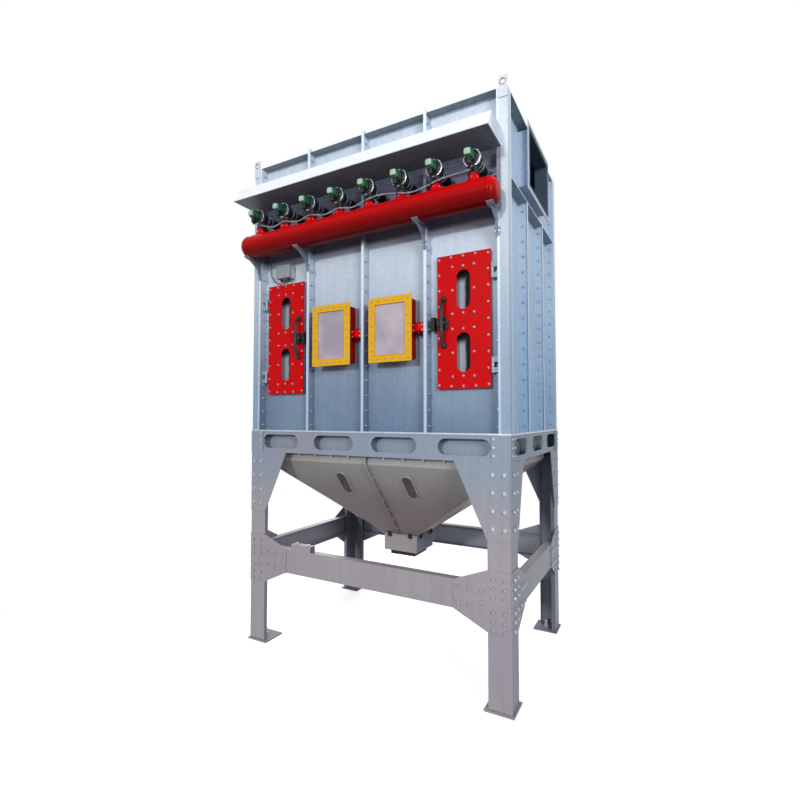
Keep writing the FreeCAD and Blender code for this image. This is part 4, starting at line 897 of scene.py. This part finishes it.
lug_ring = turned([(0.0142, -0.001), (0.0200, -0.001), (0.0200, 0.0020), (0.0185, 0.0032), (0.0155, 0.0032),
                   (0.0142, 0.0020)], 32, closed=True)
lug_frames = np.concatenate([
    frames_at([(x, y * 0.661, 3.525)], (0, y, 0), 0.0) for x in (-0.950, 0.950) for y in (-1, 1)])
add("lug_rings", lug_ring.at(lug_frames), "galvanised_frame", DULL_ZINC)


# Duct flange: a gasket round its face, inside the row of holes.

duct_frame = frames_at([(1.003, 0.0, DUCT_LEVEL)], (1, 0, 0), 0.0)
gasket = framed(0.262, 0.182, [
    (0.0, 0.0), (0.0, 0.0018), (0.002, 0.003), (0.008, 0.003), (0.010, 0.0018), (0.010, 0.0)])
add("duct_gasket", gasket.at(duct_frame), "black_rubber")


# Doors: bolts round the plate and each oblong opening, grip, latch, hinge halves and gasket.

DOOR_FACE = -0.619
DOOR_LEVEL = 2.1925
DOOR_ROWS = (1.812, 1.905, 2.000, 2.095, 2.192, 2.288, 2.385, 2.480, 2.573)
OPENING_LEVELS = (2.37975, 2.00525)
GRIP_X = 0.565
GRIP_HALF = 0.1385
LATCH_X = 0.5605
KNOB_X = 0.5565
LATCH_LEVEL = 2.1835
HINGE_X = 0.872
HINGE_Y = -0.628
LEAF_X = 0.8555
HINGE_LEVELS = (1.920, 2.465)
GASKET_Y = -0.614


def door_places(hand):
    """Bolt places on one door, hand -1 for the left: edge columns, edge rows, and a square of
    eight round each opening."""
    columns = spots((0.536, 0.844), (DOOR_FACE,), DOOR_ROWS)
    ends = spots((0.613, DOOR_X, 0.767), (DOOR_FACE,), (1.805, 2.580))
    square = np.vstack([spots((-0.068, 0.068), (0.0,), (-0.142, 0.0, 0.142)),
                        spots((0.0,), (0.0,), (-0.140, 0.140))])
    rounds = [square + (DOOR_X, DOOR_FACE, level) for level in OPENING_LEVELS]
    places = np.vstack([columns, ends, *rounds])
    places[:, 0] *= hand
    return places


def facing_front(x, z, y=DOOR_FACE):
    """A frame that faces the front, Z out of it and Y up."""
    return frames_at([(x, y, z)], (0, -1, 0), 0.0)


# The grip's middle line is 6 mm off the plate at its ends, 42 mm halfway, by 1 - |share| ** 5.
share = np.linspace(-1.0, 1.0, 41)
grip_path = np.column_stack([np.zeros(41), GRIP_HALF * share, 0.006 + 0.036 * (1 - np.abs(share) ** 5)])
grip_bar = swept(grip_path, (1.0, 0.0, 0.0), 0.0115, 0.0075, 14)
boss = turned([(0.0190, -0.001), (0.0200, 0.003), (0.0200, 0.009), (0.0180, 0.013), (0.0125, 0.0155),
               (0.0060, 0.0165)], 32)
dimple = turned([(0.0075, 0.015), (0.0075, 0.0180), (0.0055, 0.0195)], 6)
latch_base = moulded(0.074, 0.074, [(0.002, -0.001), (0.0, 0.002), (0.0, 0.010), (0.004, 0.0145)], 0.012)
latch_hub = turned([(0.0240, 0.012), (0.0240, 0.018), (0.0200, 0.021), (0.0120, 0.022)], 32)
latch_knob = turned([(0.0250, 0.0215), (0.0275, 0.0240), (0.0280, 0.0330), (0.0250, 0.0370), (0.0150, 0.0385),
                     (0.0070, 0.0388)], 60, 5, 0.13)
knuckle = turned([(0.0042, -0.0144), (0.0080, -0.0144), (0.0090, -0.0134), (0.0090, 0.0134), (0.0080, 0.0144),
                  (0.0042, 0.0144)], 28, closed=True)
leaf = moulded(0.024, 0.0288, [(0.001, -0.0005), (0.0, 0.0005), (0.0, 0.004), (0.001, 0.005)], 0.003, 2)
seal = framed(0.1600, 0.3935, [
    (0.0, 0.0), (0.0, -0.0042), (0.0015, -0.0049), (0.0045, -0.0049), (0.006, -0.0042), (0.006, 0.0)])

for hand, body in ((-1, "door_left"), (1, "door_right")):
    door_bolts = DOOR_BOLT.at(frames_at(door_places(hand), (0, -1, 0)))
    add(body + "_bolts", door_bolts, "red_paint", DULL_ZINC, body)
    ends = np.concatenate([
        facing_front(hand * GRIP_X, DOOR_LEVEL + rise) for rise in (-GRIP_HALF, GRIP_HALF)])
    grip = grip_bar.at(facing_front(hand * GRIP_X, DOOR_LEVEL)) + boss.at(ends) + dimple.at(ends)
    latch = (latch_base + latch_hub).at(facing_front(hand * LATCH_X, LATCH_LEVEL))
    latch = latch + latch_knob.at(facing_front(hand * KNOB_X, LATCH_LEVEL))
    fittings = add(body + "_grip_and_latch", grip + latch, "black_fittings", body=body)
    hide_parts(body + "_fittings")
    knuckles = knuckle.at(frames_at([(hand * HINGE_X, HINGE_Y, z) for z in HINGE_LEVELS], (0, 0, 1), 0.0))
    leaves = leaf.at(np.concatenate([facing_front(hand * LEAF_X, z) for z in HINGE_LEVELS]))
    add(body + "_hinge_knuckles", knuckles, "black_fittings", DULL_ZINC, body)
    add(body + "_hinge_leaves", leaves, "red_paint", body=body)
    seal_frame = facing_front(hand * DOOR_X, DOOR_LEVEL, GASKET_Y)
    add(body + "_gasket", seal.at(seal_frame), "black_rubber", body=body)

keeper_bolts = np.array([(hand * 0.503, -0.649, z) for hand in (-1, 1) for z in (2.160, 2.207)])
add("keeper_bolts", SMALL_BOLT.at(frames_at(keeper_bolts, (0, -1, 0))), "black_fittings")


# Burst vents: bolts round the frames and on the boxes' sides, beads inside the frames, and switches.

VENT_X = 0.228
VENT_LEVEL = 2.172
VENT_FACE = -0.693
VENT_COLUMNS = np.linspace(0.096, 0.360, 6)
VENT_ROWS = np.linspace(1.989, 2.355, 8)
BOX_BOLT_Y = -0.668
BOX_ROWS = np.linspace(2.010, 2.334, 7)

vent_places = []
for hand in (-1, 1):
    vent_places.append(spots(hand * VENT_COLUMNS[[0, -1]], (VENT_FACE,), VENT_ROWS))
    vent_places.append(spots(hand * VENT_COLUMNS[1:-1], (VENT_FACE,), VENT_ROWS[[0, -1]]))
add("vent_bolts", SMALL_BOLT.at(frames_at(np.vstack(vent_places), (0, -1, 0))), "yellow_paint", DULL_ZINC)

box_bolts = []
for middle in (-VENT_X, VENT_X):
    for way in (-1, 1):
        # The switch takes the middle bolt's place on the right.
        side_rows = [z for z in BOX_ROWS if abs(z - VENT_LEVEL) > 0.04 or way < 0]
        beside = spots((middle + way * 0.135,), (BOX_BOLT_Y,), side_rows)
        box_bolts.append(frames_at(beside, (way, 0, 0)))
        over = spots(middle + np.linspace(-0.10, 0.10, 5), (BOX_BOLT_Y,), (VENT_LEVEL + way * 0.186,))
        box_bolts.append(frames_at(over, (0, 0, way)))
add("vent_box_bolts", SMALL_BOLT.at(np.concatenate(box_bolts)), "red_paint", BRIGHT_ZINC)

inner_bead = framed(0.1085, 0.1595, [
    (0.0, -0.003), (0.0, 0.0015), (0.0008, 0.0024), (0.0026, 0.0024), (0.003, 0.001), (0.003, -0.003)])
bead_frames = np.concatenate([facing_front(x, VENT_LEVEL, VENT_FACE) for x in (-VENT_X, VENT_X)])
add("vent_frame_beads", inner_bead.at(bead_frames), "yellow_paint")

SWITCHES_X = (-0.0515, 0.4045)
SWITCH_FACE = -0.645
switch_drum = turned([(0.0260, -0.002), (0.0260, 0.006), (0.0230, 0.010), (0.0120, 0.012)], 36)
switch_ear = moulded(0.020, 0.050, [(0.001, -0.001), (0.0, 0.001), (0.0, 0.005), (0.002, 0.007)], 0.006, 3)
switch_gland = turned([
    (0.008, -0.004), (0.008, 0.006), (0.0065, 0.008), (0.0065, 0.014), (0.0050, 0.016)], 12)
drums = switch_drum.at(np.concatenate([facing_front(x, VENT_LEVEL, SWITCH_FACE) for x in SWITCHES_X]))
ears = switch_ear.at(np.concatenate([
    facing_front(x + side, VENT_LEVEL, SWITCH_FACE) for x in SWITCHES_X for side in (-0.029, 0.029)]))
add("switch_drums", drums + ears, "red_paint")
switch_bolts = [(x + side, -0.652, VENT_LEVEL + rise)
                for x in SWITCHES_X for side in (-0.030, 0.030) for rise in (-0.016, 0.016)]
add("switch_bolts", TINY_BOLT.at(frames_at(switch_bolts, (0, -1, 0))), "red_paint", BRIGHT_ZINC)
gland_frames = frames_at([(x, -0.622, 2.1395) for x in SWITCHES_X], (0, 0, -1), 0.0)
add("switch_glands", switch_gland.at(gland_frames), "black_fittings")


# Air header: end welds, stub collars with their bolts, a plug on top, and the brackets' feet.

TANK_Y = -0.755
TANK_LEVEL = 2.860
TANK_RADIUS = 0.0795
VALVE_PITCH = 0.231
VALVE_LEVEL = 3.060
VALVES = np.array([[side * (VALVE_PITCH / 2 + VALVE_PITCH * step), 0.0, VALVE_LEVEL]
                   for side in (-1, 1) for step in range(4)])

angle = np.linspace(0.0, 2 * np.pi, 72, endpoint=False)
end_welds = []
for x in (-0.906, 0.906):
    path = np.column_stack([
        np.full(72, x), TANK_Y + TANK_RADIUS * np.cos(angle), TANK_LEVEL + TANK_RADIUS * np.sin(angle)])
    end_welds.append(swept(path, (1.0, 0.0, 0.0), 0.0045, 0.0020, 10, True))
add("tank_welds", joined(end_welds), "red_paint")

on_tank = VALVES * (1, 0, 0) + (0.0, TANK_Y, 0.0)
collar = turned([
    (0.0370, 2.9180), (0.0370, 2.9480), (0.0355, 2.9500), (0.0300, 2.9510), (0.0285, 2.9540)], 36)
add("stub_collars", collar.at(frames_at(on_tank, (0, 0, 1), 0.0)), "red_paint")
angle = (np.arange(6) + 0.5) * np.pi / 3
circle = np.stack([0.0325 * np.cos(angle), 0.0325 * np.sin(angle), np.full(6, 2.9500)], axis=-1)
collar_places = (on_tank[:, None] + circle[None]).reshape(-1, 3)
add("collar_bolts", COLLAR_BOLT.at(frames_at(collar_places, (0, 0, 1))), "red_paint", BRIGHT_ZINC)

top_plug = joined([turned([(0.013, -0.006), (0.013, 0.004), (0.011, 0.006)], 24),
                   turned([(0.0085, 0.004), (0.0085, 0.012), (0.007, 0.014)], 6)])
add("tank_plug", top_plug.at(frames_at([(-0.885, TANK_Y, 2.939)], (0, 0, 1), 0.0)), "red_paint")

BRACKETS_X = (-0.912, -0.456, 0.456, 0.912)
BRACKET_FOOT_Y = -0.655
BRACKET_FOOT_LEVEL = 2.672
bracket_foot = moulded(0.034, 0.050, [(0.001, -0.0005), (0.0, 0.001), (0.0, 0.004), (0.001, 0.005)], 0.003, 2)
foot_frames = np.concatenate([facing_front(x, BRACKET_FOOT_LEVEL, BRACKET_FOOT_Y) for x in BRACKETS_X])
add("bracket_feet", bracket_foot.at(foot_frames), "galvanised_frame")
foot_bolts = [(x + side, BRACKET_FOOT_Y - 0.005, BRACKET_FOOT_LEVEL)
              for x in BRACKETS_X for side in (-0.010, 0.010)]
add("bracket_bolts", SMALL_BOLT.at(frames_at(foot_bolts, (0, -1, 0))), "galvanised_frame", BRIGHT_ZINC)


# Pulse valves: body with its inlet, ribbed cover and clamp ring, coil, cap, plug and hose clamps.

# On these frames a profile's heights are distances to the front of Y 0.
valve_frames = frames_at(VALVES, (0, -1, 0), 0.0)
valve_body = turned([
    (0.0295, 0.716), (0.035, 0.718), (0.0395, 0.724), (0.0400, 0.730), (0.0400, 0.752),
    (0.0440, 0.756), (0.0515, 0.758), (0.0520, 0.7605), (0.0520, 0.7690), (0.0505, 0.7710), (0.0490, 0.7730)],
    64, 8, 0.028)
valve_cover = turned([
    (0.0350, 0.780), (0.0445, 0.783), (0.0445, 0.786), (0.0420, 0.789), (0.0370, 0.7925), (0.0310, 0.7950),
    (0.0200, 0.7965), (0.0100, 0.797)], 64, 16, 0.022)
cover_ring = turned([
    (0.0400, 0.7735), (0.0510, 0.7735), (0.0528, 0.7755), (0.0530, 0.7815), (0.0515, 0.7845),
    (0.0470, 0.7855), (0.0425, 0.7850)], 64, 8, 0.020)
valve_neck = turned([
    (0.0300, -0.0850), (0.0345, -0.0845), (0.0345, -0.0760), (0.0300, -0.0740), (0.0285, -0.0660),
    (0.0290, -0.0500), (0.0315, -0.0350), (0.0290, -0.0200)], 36, 6, 0.015)
necks = valve_neck.at(frames_at(VALVES + (0.0, -0.7505, 0.0), (0, 0, 1), 0.0))
bodies = add("valve_bodies", valve_body.at(valve_frames) + necks, "valve_castings")
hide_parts("pulse_valves")
add("valve_covers", valve_cover.at(valve_frames), "valve_castings")
add("valve_rings", cover_ring.at(valve_frames), "valve_castings", MACHINED)

angle = np.arange(8) * np.pi / 4
circle = np.stack([0.0480 * np.cos(angle), np.full(8, -0.7852), 0.0480 * np.sin(angle)], axis=-1)
cover_bolts = (VALVES[:, None] + circle[None]).reshape(-1, 3)
add("valve_bolts", TINY_BOLT.at(frames_at(cover_bolts, (0, -1, 0))), "valve_castings", BRIGHT_ZINC)

coil = moulded(0.047, 0.050, [
    (0.004, 0.798), (0.0, 0.801), (0.0, 0.812), (0.0012, 0.813), (0.0012, 0.816), (0.0, 0.817), (0.0, 0.828),
    (0.0012, 0.829), (0.0012, 0.832), (0.0, 0.833), (0.0, 0.846), (0.005, 0.851)], 0.011)
stem = turned([(0.012, 0.796), (0.012, 0.800)], 20)
nut = turned([(0.009, 0.850), (0.009, 0.856)], 6)
cap = moulded(0.036, 0.036, [
    (0.003, 0.852), (0.0, 0.854), (0.0, 0.862), (0.002, 0.865), (0.006, 0.866)], 0.009)
plug = moulded(0.028, 0.030, [
    (0.002, -0.002), (0.0, 0.002), (0.0, 0.012), (0.0015, 0.013), (0.0015, 0.015), (0.0, 0.016), (0.0, 0.028),
    (0.004, 0.033)], 0.004)
plug_gland = turned([
    (0.0075, -0.013), (0.0095, -0.011), (0.0095, -0.004), (0.0080, -0.002), (0.0080, 0.002)], 12)
coils = add("coil_housings", coil.at(valve_frames), "green_coils")
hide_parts("valve_coils")
add("coil_stems", (stem + nut).at(valve_frames), "valve_castings", MACHINED)
add("coil_caps", cap.at(valve_frames), "green_coils", MINT_CAP)
plug_frames = frames_at(VALVES + (0.0, -0.826, -0.055), (0, 0, 1), 0.0)
add("coil_plugs", (plug + plug_gland).at(plug_frames), "black_fittings")

band = turned([(0.0302, -0.007), (0.0318, -0.0065), (0.0318, 0.0065), (0.0302, 0.007)], 40, closed=True)
worm = moulded(0.016, 0.013, [(0.001, 0.030), (0.0, 0.031), (0.0, 0.038), (0.002, 0.040)], 0.003, 2)
band_places = [(x, y, VALVE_LEVEL) for x in VALVES[:, 0] for y in (-0.703, -0.668)]
add("hose_clamps", band.at(frames_at(band_places, (0, -1, 0), 0.0)), "valve_castings", BRIGHT_ZINC)
add("clamp_worms", worm.at(frames_at(band_places, (0, 0, 1), 0.0)), "valve_castings", BRIGHT_ZINC)

tie = turned([(0.0052, -0.003), (0.0068, -0.003), (0.0068, 0.003), (0.0052, 0.003)], 16, closed=True)
tie_places = [point for point in VALVE_CABLE if min(abs(point[0] - x) for x in VALVES[:, 0]) < 0.017]
add("cable_ties", tie.at(frames_at(tie_places, (1, 0, 0.15), 0.0)), "black_rubber")


# Rain hood: a rolled lip along its front edge.

lip_path = np.column_stack([np.linspace(-0.938, 0.938, 21), np.full(21, -0.8935), np.full(21, 3.1560)])
add("hood_lip", swept(lip_path, (0.0, 0.0, 1.0), 0.0035, 0.0035, 12), "galvanised_sheet")


# Controller: case on its feet, smoked lid with its screws, and cable glands.

BOX_X = -0.690
BOX_LEVEL = 2.680
box_frame = facing_front(BOX_X, BOX_LEVEL, -0.595)
case = moulded(0.128, 0.098, [
    (0.003, 0.004), (0.0, 0.007), (0.0, 0.040), (0.0015, 0.0405), (0.0015, 0.0425)], 0.008)
lid = moulded(0.130, 0.100, [
    (0.001, 0.0425), (0.0, 0.0435), (0.0, 0.0580), (0.004, 0.0640), (0.010, 0.0650)], 0.010)
case_feet = moulded(0.104, 0.122, [(0.002, 0.0), (0.0, 0.001), (0.0, 0.004), (0.002, 0.005)], 0.006)
controller = add("controller_case", (case + case_feet).at(box_frame), "grey_plastic")
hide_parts("controller_box")
add("controller_lid", lid.at(box_frame), "grey_plastic", SMOKED_LID)
lid_places = [(BOX_X + side, -0.6595, BOX_LEVEL + rise)
              for side in (-0.054, 0.054) for rise in (-0.039, 0.039)]
add("controller_screws", TINY_BOLT.at(frames_at(lid_places, (0, -1, 0))), "grey_plastic", BRIGHT_ZINC)
box_gland = turned([
    (0.0095, -0.002), (0.0105, 0.001), (0.0105, 0.008), (0.0085, 0.010), (0.0080, 0.016),
    (0.0050, 0.019)], 12)
gland_places = [(-0.694 + side, -0.626, 2.632) for side in (-0.034, 0.034)]
add("controller_glands", box_gland.at(frames_at(gland_places, (0, 0, -1), 0.0)), "black_fittings")


# Light: a low sun from the front, lamps at the front right and rear left, and a pale surround.

def lamp(name, kind, energy, place, tilt, turn):
    """A light at a place, tilted up from straight down and turned about Z, in degrees."""
    light = bpy.data.lights.new(name, kind)
    light.energy = energy
    holder = bpy.data.objects.new(name, light)
    holder.location = place
    holder.rotation_euler = (math.radians(tilt), 0.0, math.radians(turn))
    scene.collection.objects.link(holder)
    return light


sun = lamp("sun", "SUN", 1.25, (0.0, 0.0, 0.0), 75.0, -5.0)
sun.angle = math.radians(5.0)
sun.color = (1.0, 0.98, 0.95)
lamp("side", "AREA", 470.0, (7.3, -6.1, 4.2), 78.0, 50.0).size = 3.0
lamp("rear", "AREA", 260.0, (-4.6, 6.6, 4.4), 76.0, 213.0).size = 3.0


def surround():
    """A world that is white where the camera, mirrors and glass look past the object, and a dimmer
    pale blue in the light that it gives."""
    world = bpy.data.worlds.new("surround")
    world.use_nodes = True
    tree = world.node_tree
    tree.nodes.clear()
    rays = tree.nodes.new("ShaderNodeLightPath")
    shown = rays.outputs["Is Camera Ray"]
    for ray in ("Is Glossy Ray", "Is Transmission Ray"):
        either = tree.nodes.new("ShaderNodeMath")
        either.operation = "MAXIMUM"
        tree.links.new(shown, either.inputs[0])
        tree.links.new(rays.outputs[ray], either.inputs[1])
        shown = either.outputs[0]
    blend = tree.nodes.new("ShaderNodeMixShader")
    tree.links.new(shown, blend.inputs[0])
    pale_blue = ((0.88, 0.93, 1.0, 1.0), 0.52)
    white = ((1.0, 1.0, 1.0, 1.0), 1.0)
    for index, (tone, strength) in enumerate((pale_blue, white)):
        glow = tree.nodes.new("ShaderNodeBackground")
        glow.inputs[0].default_value = tone
        glow.inputs[1].default_value = strength
        tree.links.new(glow.outputs[0], blend.inputs[1 + index])
    output = tree.nodes.new("ShaderNodeOutputWorld")
    tree.links.new(blend.outputs[0], output.inputs[0])
    return world


scene.world = surround()


def floor_finish():
    """Floor that looks pale, with the object's shadow on it, and turns into the white surround
    away from the object; the light it throws back up is that of darker ground."""
    make = Finish("pale_floor")
    across, back = make.axis(0), make.axis(1)
    distance = make.maths("SQRT", across * across + back * back)
    paths = make.node("ShaderNodeLightPath")
    seen = Value(make, paths.outputs["Is Camera Ray"])
    shown = make.maths("MAXIMUM", seen, Value(make, paths.outputs["Is Glossy Ray"]))
    shown = make.maths("MAXIMUM", shown, Value(make, paths.outputs["Is Transmission Ray"]))
    tone = make.mix(shown, (0.17, 0.17, 0.175), (0.80, 0.80, 0.80))
    matt = make.node("ShaderNodeBsdfDiffuse", None, {"Color": tone})
    lift = make.node("ShaderNodeEmission", None, {"Color": (1.0, 1.0, 1.0), "Strength": shown * 0.62})
    near = make.node("ShaderNodeAddShader", None, {0: matt.outputs[0], 1: lift.outputs[0]})
    glow = make.node("ShaderNodeEmission", None, {"Color": (1.0, 1.0, 1.0), "Strength": 1.0})
    shade_tone = make.step(distance, 1.6, 3.4) * seen
    both = make.node("ShaderNodeMixShader", None, {0: shade_tone, 1: near.outputs[0], 2: glow.outputs[0]})
    make.node("ShaderNodeOutputMaterial", None, {"Surface": both.outputs[0]})
    return make.material


FLOOR_HALF = 30.0
mesh = bpy.data.meshes.new("floor")
mesh.from_pydata([(x * FLOOR_HALF, y * FLOOR_HALF, 0.0) for x, y in CORNERS], [], [(0, 1, 2, 3)])
mesh.materials.append(floor_finish())
floor = bpy.data.objects.new("floor", mesh)
scene.collection.objects.link(floor)

scene.view_settings.view_transform = "Standard"
